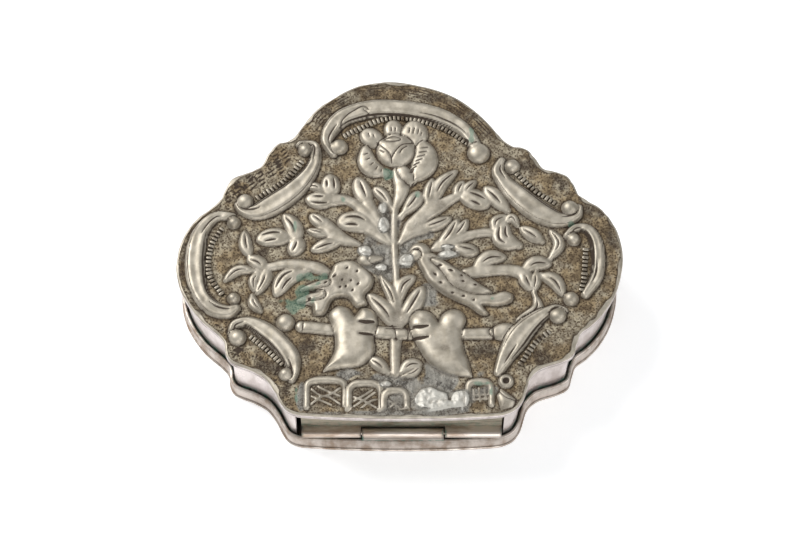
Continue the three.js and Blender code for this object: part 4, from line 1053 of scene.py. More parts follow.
def bake_modifiers(piece):
    """Gives a piece the mesh that its modifiers make, and removes them."""
    name = piece.data.name
    graph = bpy.context.evaluated_depsgraph_get()
    piece.data = bpy.data.meshes.new_from_object(piece.evaluated_get(graph))
    piece.data.name = name
    piece.modifiers.clear()


def ring(name, loop, profile, material, sharp=35.0):
    """A band swept round a loop. The profile lists depth, height, tarnish and verdigris."""
    skin = Skin()
    count = len(loop)
    firsts = [skin.level(inset(loop, depth), z) for depth, z, tarnish_and_shade, green in profile]
    skin.bands([*firsts, firsts[0]], count)
    skin.face_outward()
    piece = new_piece(name, skin, material, sharp)
    paint(piece.data, "tarnish_and_shade", np.repeat([row[2] for row in profile], count))
    paint(piece.data, "green", np.repeat([row[3] for row in profile], count))
    return piece


def rod(name, start, end, section, material, sharp=40.0):
    """A closed section swept along X with bevelled ends. The section lists (y, z)."""
    bevel = 0.08 * MM
    near = 6 * bevel
    stops = [(start, bevel), (start + bevel, 0), (start + near, 0)]
    stops += [(end - near, 0), (end - bevel, 0), (end, bevel)]
    section = np.array(section)
    count = len(section)
    toward = section.mean(0) - section
    toward /= np.linalg.norm(toward, axis=1)[:, None]
    skin = Skin()
    firsts = [skin.add(np.column_stack([np.full(count, x), section + toward * draw])) for x, draw in stops]
    skin.bands(firsts, count)
    skin.patch(firsts[0], [range(count)], turned=True)
    skin.patch(firsts[-1], [range(count)])
    skin.face_outward()
    return new_piece(name, skin, material, sharp)


class Shading:
    """A material's node tree, built one node per call."""

    def __init__(self, name):
        self.material = bpy.data.materials.new(name)
        self.material.use_nodes = True
        self.tree = self.material.node_tree
        self.tree.nodes.clear()
        self.output = self.tree.nodes.new("ShaderNodeOutputMaterial")
        self.coordinates = self.tree.nodes.new("ShaderNodeTexCoord").outputs["Object"]

    def set(self, socket, value):
        """Links a socket to another, or sets it to a number or colour."""
        if isinstance(value, bpy.types.NodeSocket):
            self.tree.links.new(value, socket)
        elif socket.type == "RGBA":
            socket.default_value = (*value, 1)
        else:
            socket.default_value = value

    def node(self, kind, **values):
        """A new node with some of its inputs set."""
        node = self.tree.nodes.new(kind)
        for name, value in values.items():
            self.set(node.inputs[name.replace("_", " ")], value)
        return node

    def attribute(self, name):
        """The number that the mesh holds under a name."""
        node = self.node("ShaderNodeAttribute")
        node.attribute_name = name
        return node.outputs["Fac"]

    def stretched(self, scale):
        """Object coordinates scaled along each axis."""
        return self.node("ShaderNodeMapping", Vector=self.coordinates, Scale=scale).outputs["Vector"]

    def noise(self, size, detail=3.0, roughness=0.55, vector=None):
        """Noise with features of about a given size."""
        node = self.node("ShaderNodeTexNoise", Vector=vector or self.coordinates, Scale=1 / size,
                         Detail=detail, Roughness=roughness)
        return node.outputs["Fac"]

    def pits(self, size):
        """Distance to the nearest of scattered points."""
        return self.node("ShaderNodeTexVoronoi", Vector=self.coordinates, Scale=1 / size).outputs["Distance"]

    def spread(self, value, low, high, to_low=0.0, to_high=1.0):
        """Smooth rise from one value to another between two limits."""
        node = self.node("ShaderNodeMapRange")
        node.interpolation_type = "SMOOTHSTEP"
        self.set(node.inputs["Value"], value)
        limits = {"From Min": low, "From Max": high, "To Min": to_low, "To Max": to_high}
        for name, limit in limits.items():
            node.inputs[name].default_value = limit
        return node.outputs["Result"]

    def result(self, operation, a, b):
        """Result of a two-value operation."""
        node = self.node("ShaderNodeMath")
        node.operation = operation
        self.set(node.inputs[0], a)
        self.set(node.inputs[1], b)
        return node.outputs[0]

    def plus(self, a, b):
        """Sum of two values, kept between 0 and 1."""
        total = self.result("ADD", a, b)
        total.node.use_clamp = True
        return total

    def less(self, a, b):
        """First value less the second."""
        return self.result("SUBTRACT", a, b)

    def times(self, a, b):
        """Product of two values."""
        return self.result("MULTIPLY", a, b)

    def most(self, a, b):
        """Larger of two values."""
        return self.result("MAXIMUM", a, b)

    def mix(self, share, a, b):
        """Colour a share of the way from one to another."""
        node = self.node("ShaderNodeMix")
        node.data_type = "RGBA"
        self.set(node.inputs["Factor"], share)
        self.set(node.inputs["A"], a)
        self.set(node.inputs["B"], b)
        return node.outputs["Result"]

    def bump(self, height, strength, distance, normal=None):
        """Normal roughened by a height, over another one if given."""
        node = self.node("ShaderNodeBump", Height=height, Strength=strength, Distance=distance)
        if normal is not None:
            self.set(node.inputs["Normal"], normal)
        return node.outputs["Normal"]

    def surface(self, colour, metallic, roughness, normal):
        """The finished material."""
        shader = self.node("ShaderNodeBsdfPrincipled", Base_Color=colour, Metallic=metallic,
                           Roughness=roughness, Normal=normal)
        self.tree.links.new(shader.outputs[0], self.output.inputs["Surface"])
        return self.material


def linear(red, green, blue):
    """Scene colour from screen values of 0 to 255."""
    return tuple(((c / 255 + 0.055) / 1.055) ** 2.4 if c > 10 else c / 3294.6 for c in (red, green, blue))


def embossed_silver(finishes):
    """Worn silver on the raised work, brown patina in its lines, brown patina with painted shade in its
    creases and round its forms, and stippled ground.
    """
    s = Shading("embossed_silver")
    gap = s.attribute("gap")
    line = s.attribute("line")
    cloud = s.noise(4 * MM, 3.0, 0.6)
    blotch = s.noise(2.2 * MM, 3.0, 0.6)
    speck = s.noise(0.34 * MM, 4.0, 0.75)
    grain = s.noise(0.14 * MM, 1.0)
    on_ground = s.spread(gap, -0.02, 0.12)
    pits = s.plus(s.times(s.pits(0.42 * MM), 0.5), s.times(speck, 0.8))
    patina_and_shade_share = patina_and_shade_mask(s, gap, line, on_ground, cloud, speck)
    colour = s.mix(on_ground, raised_colour(s, finishes, blotch), ground_colour(s, finishes, cloud, pits))
    # Brown of patina, and of painted shade in the creases and round the forms
    colour = s.mix(patina_and_shade_share, colour, finishes.patina_and_shade_brown)
    solder = s.attribute("solder")
    bare = s.less(1.0, s.times(patina_and_shade_share, 0.55))
    there = s.times(s.spread(s.plus(solder, s.times(speck, 0.35)), 0.2, 0.72), bare)
    colour = s.mix(there, colour, solder_colour(s, finishes, solder, blotch, speck))
    verdigris = s.mix(s.spread(speck, 0.35, 0.65), finishes.verdigris_dark, finishes.verdigris)
    grown = s.spread(s.plus(s.attribute("green"), s.times(speck, 0.7)), 0.42, 1.25, 0.0, 0.8)
    colour = s.mix(grown, colour, verdigris)
    open_ground = s.times(on_ground, s.less(1.0, there))
    covered = s.most(s.times(patina_and_shade_share, 0.85), s.times(grown, 0.95))
    covered = s.most(covered, s.times(open_ground, 0.45))
    covered = s.most(covered, s.times(there, 0.15))
    metallic = s.less(0.95, covered)
    roughness = s.spread(s.less(covered, s.times(s.attribute("wear"), 0.1)), 0.0, 0.6, 0.53, 0.74)
    stipple = s.times(pits, s.most(open_ground, s.times(there, 0.6)))
    normal = s.bump(stipple, 0.9, 0.16 * MM)
    normal = s.bump(s.spread(line, 0.14, -0.04), 0.6, -0.1 * MM, normal)
    normal = s.bump(s.plus(grain, blotch), 0.2, 0.04 * MM, normal)
    return s.surface(colour, metallic, roughness, normal)


def raised_colour(s, finishes, blotch):
    """Silver of the high spots, with duller patches and scratches."""
    scratch = s.noise(0.5 * MM, 3.0, 0.6, s.stretched((1, 0.12, 1)))
    raised = s.mix(s.spread(blotch, 0.35, 0.68), finishes.raised, finishes.dull)
    return s.mix(s.times(s.spread(scratch, 0.55, 0.75), 0.4), raised, finishes.ground_light)


def ground_colour(s, finishes, cloud, pits):
    """Stippled ground: light and golden clouds with dark pits."""
    warm = s.mix(s.spread(cloud, 0.4, 0.62), finishes.ground_light, finishes.ground_warm)
    warm = s.mix(s.spread(s.noise(1.3 * MM, 2.0), 0.4, 0.62, 0.0, 0.55), warm, finishes.ground_dark)
    return s.mix(s.spread(pits, 0.46, 0.74), finishes.ground_dark, warm)


def patina_and_shade_mask(s, gap, line, on_ground, cloud, speck):
    """Where patina and painted shade go: painted shade with patina in creases and close to the forms, patina
    in dirt, in clouds and in chased lines.
    """
    # Painted shade with patina: darker in the hollows and on the ground close to each form
    near = s.times(s.spread(gap, 0.7, 0.1), on_ground)
    patina_and_shade_share = s.most(s.times(s.attribute("crease"), 0.98), s.times(near, 0.88))
    patina_and_shade_share = s.most(patina_and_shade_share, s.times(s.attribute("dirt"), s.spread(on_ground, 0.0, 1.0, 0.45, 0.92)))
    patina_and_shade_share = s.most(patina_and_shade_share, s.times(s.spread(cloud, 0.56, 0.7), s.times(on_ground, 0.4)))
    patina_and_shade_share = s.times(patina_and_shade_share, s.spread(speck, 0.38, 0.62, 1.0, 0.6))
    return s.most(patina_and_shade_share, s.spread(line, 0.12, -0.02, 0.0, 0.97))


def solder_colour(s, finishes, solder, blotch, speck):
    """Grey solder with bright specks, and lumps lighter as bare solder and as a painted highlight."""
    grey = s.spread(s.times(s.plus(blotch, speck), 0.5), 0.42, 0.57)
    metal = s.mix(grey, finishes.solder_dark, finishes.solder_light)
    # Painted highlight with bare solder: the lumps lighter all over
    return s.mix(s.spread(solder, 0.93, 1.0, 0.0, 0.8), metal, finishes.solder_highlight)


def plain_silver(name, bright, dull, finishes, stretch=(1, 1, 1), roughness=0.3):
    """Plain sheet silver with streaks, tarnish along its edges, painted shade in the hinge hollow and traces
    of verdigris.
    """
    s = Shading(name)
    along = s.stretched(stretch)
    streak = s.noise(2.4 * MM, 4.0, 0.6, along)
    grain = s.noise(0.5 * MM, 2.0, 0.5, along)
    blotch = s.noise(7 * MM)
    colour = s.mix(s.spread(streak, 0.4, 0.7), bright, dull)
    # Tarnish, and in the hinge hollow painted shade, both in the patina's brown
    patina_and_shade_share = s.times(s.attribute("tarnish_and_shade"), s.spread(streak, 0.3, 0.55, 0.5, 1.0))
    colour = s.mix(patina_and_shade_share, colour, finishes.patina_and_shade_brown)
    there = s.times(s.attribute("green"), s.spread(s.noise(1.1 * MM), 0.44, 0.6))
    colour = s.mix(there, colour, finishes.verdigris_dark)
    covered = s.most(patina_and_shade_share, there)
    metallic = s.less(0.95, s.times(covered, 0.8))
    rough = s.plus(s.spread(streak, 0.3, 0.7, roughness, roughness + 0.12), s.times(covered, 0.3))
    normal = s.bump(grain, 0.08, 0.05 * MM)
    normal = s.bump(blotch, 0.15, 0.3 * MM, normal)
    return s.surface(colour, metallic, rough, normal)


def settle(piece, body, slot, *nodes):
    """Puts a finished piece on its body, in place of its solids if it stands for any."""
    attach(piece, body)
    if nodes:
        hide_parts(*nodes)


def length(name, description, millimetres):
    """A length that the sidebar shows."""
    return bpy.props.FloatProperty(
        name=name, description=description, default=millimetres * MM, unit="LENGTH", precision=6)


def tint(name, description, *screen_values):
    """A colour that the sidebar shows, from screen values of 0 to 255."""
    return bpy.props.FloatVectorProperty(
        name=name, description=description, subtype="COLOR", default=linear(*screen_values))


class CaseSizes(bpy.types.PropertyGroup):
    """Sizes of the embossed work and its beading."""

    relief_step: length("Relief step", "Grid on which the relief is worked out", 0.125)
    mesh_step: length("Mesh step", "Spacing of the lid's surface points", 0.25)
    back_step: length("Back step", "Spacing of the surface points inside the lid", 0.5)
    seed: bpy.props.IntProperty(name="Seed", description="Seed of the hand-made unevenness", default=7)
    scroll_height: length("Scroll height", "Height of the C-scrolls", 1.2)
    ball_height: length("Ball height", "Height of the balls", 1.4)
    leaf_height: length("Leaf height", "Height of leaves and petals", 0.8)
    branch_height: length("Branch height", "Height of stem and branches", 0.65)
    rose_height: length("Rose height", "Height of the bud", 1.1)
    bird_height: length("Bird height", "Height of the birds", 1.15)
    heart_height: length("Heart height", "Height of the hearts", 1.45)
    rod_height: length("Rod height", "Height of the rod", 0.75)
    arch_height: length("Arch height", "Height of the arcade", 0.6)
    bead_pitch: length("Bead pitch", "Distance between beads", 0.8)
    bead_length: length("Bead length", "Half length of a bead along its row", 0.29)
    bead_width: length("Bead width", "Half width of a bead across its row", 0.62)
    bead_height: length("Bead height", "Half height of a bead", 0.4)


class CaseFinishes(bpy.types.PropertyGroup):
    """Colours of silver, patina, solder and verdigris."""

    raised: tint("Raised silver", "Worn high spots", 206, 197, 181)
    dull: tint("Dull silver", "Duller patches of the high spots", 176, 167, 151)
    ground_light: tint("Light ground", "Lighter specks of the ground", 192, 181, 158)
    ground_warm: tint("Warm ground", "Golden specks of the ground", 170, 150, 117)
    ground_dark: tint("Dark ground", "Darker specks of the ground", 84, 68, 50)
    # Brown of patina, also used as painted shade in creases, round the forms and in the hinge hollow
    patina_and_shade_brown: tint("Patina", "Brown in creases and chased lines", 56, 41, 28)
    verdigris: tint("Verdigris", "Pale green deposit", 136, 163, 143)
    verdigris_dark: tint("Dark verdigris", "Deep green deposit", 84, 124, 106)
    solder_light: tint("Light solder", "Bright specks of old solder", 184, 180, 170)
    # Bare solder, and a painted highlight on the lumps
    solder_highlight: tint("Bright solder", "Blank lumps of old solder", 226, 222, 212)
    solder_dark: tint("Dark solder", "Grey of old solder", 94, 90, 84)
    wall: tint("Wall silver", "Smooth silver of the lid's wall", 222, 212, 208)
    wall_dull: tint("Dull wall silver", "Streaks on the lid's wall", 196, 184, 178)
    tray: tint("Tray silver", "Silver of the tray", 214, 203, 193)
    tray_dull: tint("Dull tray silver", "Streaks on the tray", 170, 150, 132)
    # Silver of the hinge hollow, darker than the wall's for tarnish and for painted shade under the lid's
    # edge
    recess: tint("Recess silver", "Tarnished silver of the hinge hollow", 184, 174, 156)
    recess_dull: tint("Dull recess silver", "Darker streaks of the hinge hollow", 120, 110, 92)
    floor: tint("Floor", "Pale studio floor", 246, 246, 246)


class CASE_OT_lid_top(bpy.types.Operator):
    """Embossed top sheet of the lid, hollow from behind"""

    bl_idname = "case.lid_top"
    bl_label = "Lid top"

    def execute(self, context):
        sizes = context.scene.case_sizes
        relief = emboss(sizes)
        outline = case_outline()
        skin, hidden = lid_skin(relief, outline, sizes)
        piece = new_piece("lid_top", skin, embossed_silver(context.scene.case_finishes), 180.0)
        paint_lid(piece.data, relief, outline, skin.points[:, :2], hidden)
        settle(piece, "lid", "embossed_silver", "lid_plate")
        return {"FINISHED"}


def lid_skin(relief, outline, sizes):
    """Skin of the embossed sheet, and which of its points the finish of the top leaves alone."""
    skin = Skin()
    count = len(outline)
    worn = worn_edge(relief, count)
    firsts = [skin.level(inset(outline, depth + worn), z) for depth, z in LID_EDGE]
    for depth in LID_BORDER:
        line = inset(outline, depth)
        rise = relief.sample(relief.height, line) * smoothstep(0.3 * MM, 1.2 * MM, depth)
        firsts.append(skin.level(line, GROUND_Z + rise))
    inner = inset(outline, LID_INNER)
    top, faces = grid_patch(inner, sizes.mesh_step)
    firsts.append(skin.level(top, GROUND_Z + relief.sample(relief.height, top)))
    skin.patch(firsts[-1], faces)
    skin.bands(firsts, count)
    back, faces = grid_patch(inner, sizes.back_step)
    depth = loop_depth(outline, back[:, 0], back[:, 1])
    hollow = relief.sample(relief.soften(relief.height, 0.35 * MM), back)
    lift = 0.85 * hollow * smoothstep(2.0 * MM, 3.2 * MM, depth)
    behind = skin.level(back, PLATE_LOW.z + np.maximum(lift, 0))
    skin.patch(behind, faces, turned=True)
    skin.band(behind, firsts[0], count)
    order = np.arange(len(skin.points))
    return skin, (order < firsts[len(LID_EDGE)]) | (order >= behind)


def worn_edge(relief, count):
    """Random depths of the small dents round the edge of the sheet."""
    dents = np.convolve(np.tile(relief.random.standard_normal(count), 3), np.hanning(9), "same")
    return 0.05 * MM * np.clip(dents[count:2 * count], 0, 2.4)[:, None]


def paint_lid(mesh, relief, outline, flat, hidden):
    """Stores the finish of the relief. Distances are stored in millimetres."""
    border = loop_depth(outline, flat[:, 0], flat[:, 1]) / MM
    rubbed = 0.35 + 0.35 * relief.sample(relief.edge_wear, flat)
    gap = np.minimum(relief.sample(relief.gap, flat) / MM, border - rubbed)
    line = relief.sample(relief.line, flat) / MM
    crease = relief.sample(relief.crease, flat)
    paint(mesh, "gap", np.where(hidden, -1.0, gap))
    paint(mesh, "line", np.where(hidden, 1.0, line))
    paint(mesh, "crease", np.where(hidden, 0.15, crease))
    for name in ("wear", "solder", "green", "dirt"):
        paint(mesh, name, np.where(hidden, 0.0, relief.sample(getattr(relief, name), flat)))


def bead_tree(material):
    """Node tree that sets rounded beads across a line at an even pitch, with its inputs by name."""
    group = bpy.data.node_groups.new("bead_strip", "GeometryNodeTree")
    interface = group.interface
    interface.new_socket("Geometry", in_out="INPUT", socket_type="NodeSocketGeometry")
    names = ("Pitch", "Length", "Width", "Height")
    inputs = {}
    for name in names:
        inputs[name] = interface.new_socket(name, in_out="INPUT", socket_type="NodeSocketFloat")
    interface.new_socket("Geometry", in_out="OUTPUT", socket_type="NodeSocketGeometry")
    source = group.nodes.new("NodeGroupInput")
    target = group.nodes.new("NodeGroupOutput")
    curve = group.nodes.new("GeometryNodeMeshToCurve")
    resample = group.nodes.new("GeometryNodeResampleCurve")
    resample.mode = "LENGTH"
    bead = one_bead(group, source)
    tangent = group.nodes.new("GeometryNodeInputTangent")
    turn = group.nodes.new("FunctionNodeAlignRotationToVector")
    turn.axis = "X"
    turn.pivot_axis = "Z"
    vary = group.nodes.new("FunctionNodeRandomValue")
    vary.data_type = "FLOAT"
    smallest, largest = vary.inputs[2:4]
    smallest.default_value = 0.82
    largest.default_value = 1.12
    vary.inputs["Seed"].default_value = 3
    instances = group.nodes.new("GeometryNodeInstanceOnPoints")
    realize = group.nodes.new("GeometryNodeRealizeInstances")
    dress = group.nodes.new("GeometryNodeSetMaterial")
    dress.inputs["Material"].default_value = material
    for output, socket in (
        (source.outputs["Geometry"], curve.inputs["Mesh"]),
        (curve.outputs["Curve"], resample.inputs["Curve"]),
        (source.outputs["Pitch"], resample.inputs["Length"]),
        (resample.outputs["Curve"], instances.inputs["Points"]),
        (bead, instances.inputs["Instance"]),
        (tangent.outputs["Tangent"], turn.inputs["Vector"]),
        (turn.outputs["Rotation"], instances.inputs["Rotation"]),
        (vary.outputs[1], instances.inputs["Scale"]),
        (instances.outputs["Instances"], realize.inputs["Geometry"]),
        (realize.outputs["Geometry"], dress.inputs["Geometry"]),
        (dress.outputs["Geometry"], target.inputs["Geometry"]),
    ):
        group.links.new(output, socket)
    return group, {name: socket.identifier for name, socket in inputs.items()}


def one_bead(group, source):
    """Output with a single rounded bead of the asked half sizes."""
    cube = group.nodes.new("GeometryNodeMeshCube")
    cube.inputs["Size"].default_value = (2, 2, 2)
    rounded = group.nodes.new("GeometryNodeSubdivisionSurface")
    rounded.inputs["Level"].default_value = 2
    rounded.inputs["Edge Crease"].default_value = 0.45
    smooth = group.nodes.new("GeometryNodeSetShadeSmooth")
    size = group.nodes.new("ShaderNodeCombineXYZ")
    shape = group.nodes.new("GeometryNodeTransform")
    for output, socket in (
        (source.outputs["Length"], size.inputs["X"]),
        (source.outputs["Width"], size.inputs["Y"]),
        (source.outputs["Height"], size.inputs["Z"]),
        (cube.outputs["Mesh"], rounded.inputs["Mesh"]),
        (rounded.outputs["Mesh"], smooth.inputs["Geometry"]),
        (smooth.outputs["Geometry"], shape.inputs["Geometry"]),
        (size.outputs["Vector"], shape.inputs["Scale"]),
    ):
        group.links.new(output, socket)
    return shape.outputs["Geometry"]


class CASE_OT_beading(bpy.types.Operator):
    """Beaded strips inside the scrolls"""

    bl_idname = "case.beading"
    bl_label = "Beading"

    def execute(self, context):
        sizes = context.scene.case_sizes
        finishes = context.scene.case_finishes
        material = plain_silver("bead_silver", finishes.dull, finishes.ground_dark, finishes, roughness=0.45)
        piece = link_piece("lid_beading", bead_lines())
        group, inputs = bead_tree(material)
        modifier = piece.modifiers.new("beads", "NODES")
        modifier.node_group = group
        modifier[inputs["Pitch"]] = sizes.bead_pitch
        modifier[inputs["Length"]] = sizes.bead_length
        modifier[inputs["Width"]] = sizes.bead_width
        modifier[inputs["Height"]] = sizes.bead_height
        bake_modifiers(piece)
        settle(piece, "lid", "embossed_silver")
        return {"FINISHED"}


def bead_lines():
    """Mesh of the lines that the beads follow, just above the ground."""
    points = []
    edges = []
    for rows in BEAD_SHARES:
        line = smooth_line([place(r) for r in rows], 8)
        first = len(points)
        points += [(x, y, GROUND_Z + 0.02 * MM) for x, y in line]
        edges += [(first + k, first + k + 1) for k in range(len(line) - 1)]
    mesh = bpy.data.meshes.new("lid_beading")
    mesh.from_pydata(points, edges, [])
    return mesh


class CASE_OT_lid_side(bpy.types.Operator):
    """Edge band and deep wall of the lid, with the opening for the hinge"""

    bl_idname = "case.lid_side"
    bl_label = "Lid side"

    def execute(self, context):
        finishes = context.scene.case_finishes
        outline = case_outline()
        metal = plain_silver("wall_silver", finishes.wall, finishes.wall_dull, finishes, (1, 1, 0.35), 0.26)
        band = ring("lid_band", outline, band_profile(), metal, 50.0)
        settle(band, "lid", "plain_silver", "lid_edge_band")
        wall = ring("lid_side", outline, wall_profile(), metal)
        cut_recess(wall)
        settle(wall, "lid", "plain_silver", "lid_wall")
        return {"FINISHED"}


def band_profile():
    """Half-round band with three scored lines round it."""
    low = BAND_LOW.z
    high = BAND_HIGH.z
    profile = [(0.5 * MM, low, 0.4, 0)]
    for k in range(13):
        angle = math.pi * k / 12
        scored = k in (4, 7, 10)
        depth = 0.01 * MM + 0.4 * MM * (1 - math.sin(angle) ** 0.6) + 0.05 * MM * scored
        profile.append((depth, blend(low, high, 0.5 - 0.5 * math.cos(angle)), 0.8 * scored, 0))
    inside = WALL_OUTER - 0.05 * MM
    return [*profile, (SHEET, high, 0, 0), (inside, high, 0, 0), (inside, low, 0.3, 0)]


def wall_profile():
    """Upright sheet with tarnish and verdigris at the seam with the tray."""
    low = WALL_LOW.z
    high = WALL_HIGH.z
    seam = RIM_HIGH.z
    outer = WALL_OUTER
    inner = WALL_OUTER + SHEET
    bevel = 0.1 * MM
    return [
        (outer + bevel, low, 0.3, 0), (outer, low + bevel, 0.5, 0.3), (outer, seam - 0.4 * MM, 0.9, 1.0),
        (outer, seam + 0.1 * MM, 0.75, 1.0), (outer, seam + 0.45 * MM, 0.1, 0.4),
        (outer, seam + 1.2 * MM, 0, 0), (outer, BAND_LOW.z - 0.5 * MM, 0, 0),
        (outer, BAND_LOW.z - 0.1 * MM, 0.5, 0), (outer, high, 0.5, 0),
        (inner, high, 0.6, 0), (inner, high - 0.5 * MM, 0.35, 0), (inner, high - 2 * MM, 0.12, 0),
        (inner, low + bevel, 0.1, 0), (inner - bevel, low, 0.3, 0),
    ]


def cut_recess(wall):
    """Cuts the opening for the hinge out of the front of the wall."""
    reach = FRONT_EDGE_SHARE * HALF_WIDTH
    opening = box_mesh((-reach, -HALF_DEPTH - MM, 0), (reach, BED_HIGH.y - SHEET, BAND_LOW.z))
    cutter = link_piece("cutter", opening)
    cut = wall.modifiers.new("recess", "BOOLEAN")
    cut.operation = "DIFFERENCE"
    cut.solver = "EXACT"
    cut.object = cutter
    bake_modifiers(wall)
    bpy.data.objects.remove(cutter)
    mark_sharp(wall.data, 35.0)


def box_mesh(low, high):
    """Plain box between two corners."""
    points = [(x, y, z) for x in (low[0], high[0]) for y in (low[1], high[1]) for z in (low[2], high[2])]
    faces = [(0, 1, 3, 2), (4, 6, 7, 5), (0, 4, 5, 1), (2, 3, 7, 6), (0, 2, 6, 4), (1, 5, 7, 3)]
    mesh = bpy.data.meshes.new("box")
    mesh.from_pydata(points, [], faces)
    return mesh


class CASE_OT_hinge(bpy.types.Operator):
    """Hollow behind the hinge, its three knuckles and the pin"""

    bl_idname = "case.hinge"
    bl_label = "Hinge"

    def execute(self, context):
        finishes = context.scene.case_finishes
        metal = plain_silver("hinge_silver", finishes.tray, finishes.tray_dull, finishes, (0.3, 1, 1), 0.34)
        # Darker silver of the hinge hollow: tarnish and painted shade
        tarnished_and_shaded = plain_silver(
            "recess_silver", finishes.recess, finishes.recess_dull, finishes, (0.35, 1, 1), 0.5)
        tube = round_section(KNUCKLE_RADIUS, 40)
        wire = [spot for angle, spot in round_section((PIN_HIGH.z - PIN_LOW.z) / 2, 20)]
        for name, node, body, section in (
            ("knuckle_left", "hinge_knuckle_left", "lid", with_apron(tube)),
            ("knuckle_right", "hinge_knuckle_right", "lid", with_apron(tube)),
            ("knuckle_middle", "hinge_knuckle_middle", "tray", with_leaf(tube)),
            ("hinge_wire", "hinge_pin", "tray", wire),
        ):
            low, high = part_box(node)
            piece = rod(name, low.x, high.x, section, metal)
            age_hinge(piece.data)
            settle(piece, body, "hinge_silver", node)
        bed = hinge_bed(tarnished_and_shaded)
        settle(bed, "lid", "recess_silver", "lid_hinge_bed")
        return {"FINISHED"}


def round_section(radius, sides):
    """Angles in degrees and places (y, z) round the hinge's axis."""
    section = []
    for k in range(sides):
        angle = math.tau * k / sides
        spot = np.array([AXIS_Y + radius * math.cos(angle), AXIS_Z + radius * math.sin(angle)])
        section.append((math.degrees(angle), spot))
    return section


def with_apron(tube):
    """Tube section with its back drawn out flat to the bed behind it."""
    reach = LEFT_HIGH.y
    kept = [spot for angle, spot in tube if ROUND_FROM < angle < ROUND_TO]
    low = AXIS_Z - 0.5 * KNUCKLE_RADIUS
    high = AXIS_Z + 0.85 * KNUCKLE_RADIUS
    return [*kept, np.array([reach, low]), np.array([reach, high])]


def with_leaf(tube):
    """Tube section with the leaf that stands on the rim in front of it."""
    low = MIDDLE_LOW.z
    front = MIDDLE_LOW.y
    before = [spot for angle, spot in tube if angle <= LEAF_START]
    after = [spot for angle, spot in tube if angle >= LEAF_END]
    corners = [(front, low + LEAF_THICKNESS), (front, low), (after[0][0], low)]
    return [*before, *corners, *after]


def age_hinge(mesh):
    """Tarnish low on the tube and verdigris at its ends and underside."""
    x = np.array([v.co.x for v in mesh.vertices])
    z = np.array([v.co.z for v in mesh.vertices])
    ends = np.minimum(x - x.min(), x.max() - x)
    near_end = 1 - smoothstep(0.05 * MM, 0.5 * MM, ends)
    under = 1 - smoothstep(AXIS_Z - KNUCKLE_RADIUS, AXIS_Z - 0.55 * KNUCKLE_RADIUS, z)
    paint(mesh, "tarnish_and_shade", np.clip(0.5 * near_end + 0.7 * under, 0, 1))
    paint(mesh, "green", np.clip(near_end + under, 0, 1) ** 2)


def hinge_bed(metal):
    """Hollowed strip that closes the wall behind the hinge."""
    stand = BED_HIGH.y - SHEET
    top = BED_HIGH.z
    front = [np.array([blend(BED_LOW.y, stand, d), blend(top, AXIS_Z, h)]) for d, h in BED_SHARES]
    front.append(np.array([stand, BED_LOW.z]))
    back = [p + np.array([SHEET, 0]) for p in front][::-1]
    piece = rod("hinge_hollow", BED_LOW.x, BED_HIGH.x, front + back, metal, 30.0)
    z = np.array([v.co.z for v in piece.data.vertices])
    # Painted shade with tarnish: the hollow darker towards its top, under the lid's edge
    paint(piece.data, "tarnish_and_shade", 0.15 + 0.5 * smoothstep(AXIS_Z + 5 * MM, top, z))
    paint(piece.data, "green", 0.45 - 0.3 * smoothstep(AXIS_Z + 1 * MM, AXIS_Z + 4 * MM, z))
    return piece


class CASE_OT_tray(bpy.types.Operator):
    """Shallow tray: flat floor and upright rim"""

    bl_idname = "case.tray"
    bl_label = "Tray"

    def execute(self, context):
        finishes = context.scene.case_finishes
        outline = case_outline()
        metal = plain_silver("tray_silver", finishes.tray, finishes.tray_dull, finishes, (1, 1, 0.4), 0.34)
        rim = ring("tray_side", outline, rim_profile(), metal)
        settle(rim, "tray", "tray_silver", "tray_rim")
        floor = tray_sheet(outline, metal)
        settle(floor, "tray", "tray_silver", "tray_floor")
        return {"FINISHED"}


def rim_profile():
    """Upright strip with a rounded top, tarnished at its foot and inside."""
    low = RIM_LOW.z
    high = RIM_HIGH.z
    outer = FOOT_STEP
    inner = FOOT_STEP + SHEET
    return [
        (outer, low, 0.8, 0), (outer, low + 0.25 * MM, 0.35, 0), (outer, low + 0.8 * MM, 0.1, 0),
        (outer, high - 0.7 * MM, 0.2, 0), (outer, high - 0.3 * MM, 0.4, 0.1),
        (outer + 0.06 * MM, high - 0.08 * MM, 0.1, 0), (outer + 0.18 * MM, high, 0.15, 0),
        (inner - 0.12 * MM, high, 0.6, 0.3), (inner, high - 0.1 * MM, 0.8, 0.8),
        (inner, high - 1.5 * MM, 0.7, 0.6), (inner, low, 0.4, 0.2),
    ]


def tray_sheet(outline, metal):
    """Flat floor of the tray with rounded edges."""
    bevel = 0.12 * MM
    skin = Skin()
    count = len(outline)
    levels = [(bevel, 0), (0.0, bevel), (0.0, SHEET - bevel), (bevel, SHEET)]
    firsts = [skin.level(inset(outline, depth), z) for depth, z in levels]
    flat, faces = grid_patch(inset(outline, 1.5 * MM), 2 * MM)
    top = skin.level(flat, SHEET)
    bottom = skin.level(flat, 0)
    skin.patch(top, faces)
    skin.patch(bottom, faces, turned=True)
    skin.bands([bottom, *firsts, top], count)
    piece = new_piece("tray_base", skin, metal)
    paint(piece.data, "tarnish_and_shade", np.full(len(skin.points), 0.12))
    paint(piece.data, "green", np.zeros(len(skin.points)))
    return piece


class CASE_OT_stage(bpy.types.Operator):
    """Pale floor, soft studio lamps and the camera"""

    bl_idname = "case.stage"
    bl_label = "Stage"

    def execute(self, context):
        scene = context.scene
        floor = studio_floor(scene.case_finishes.floor)
        studio_world(scene)
        for row in LAMPS:
            studio_lamp(scene, *row)
        studio_camera(scene)
        scene.view_settings.view_transform = "Standard"
        return {"FINISHED"}


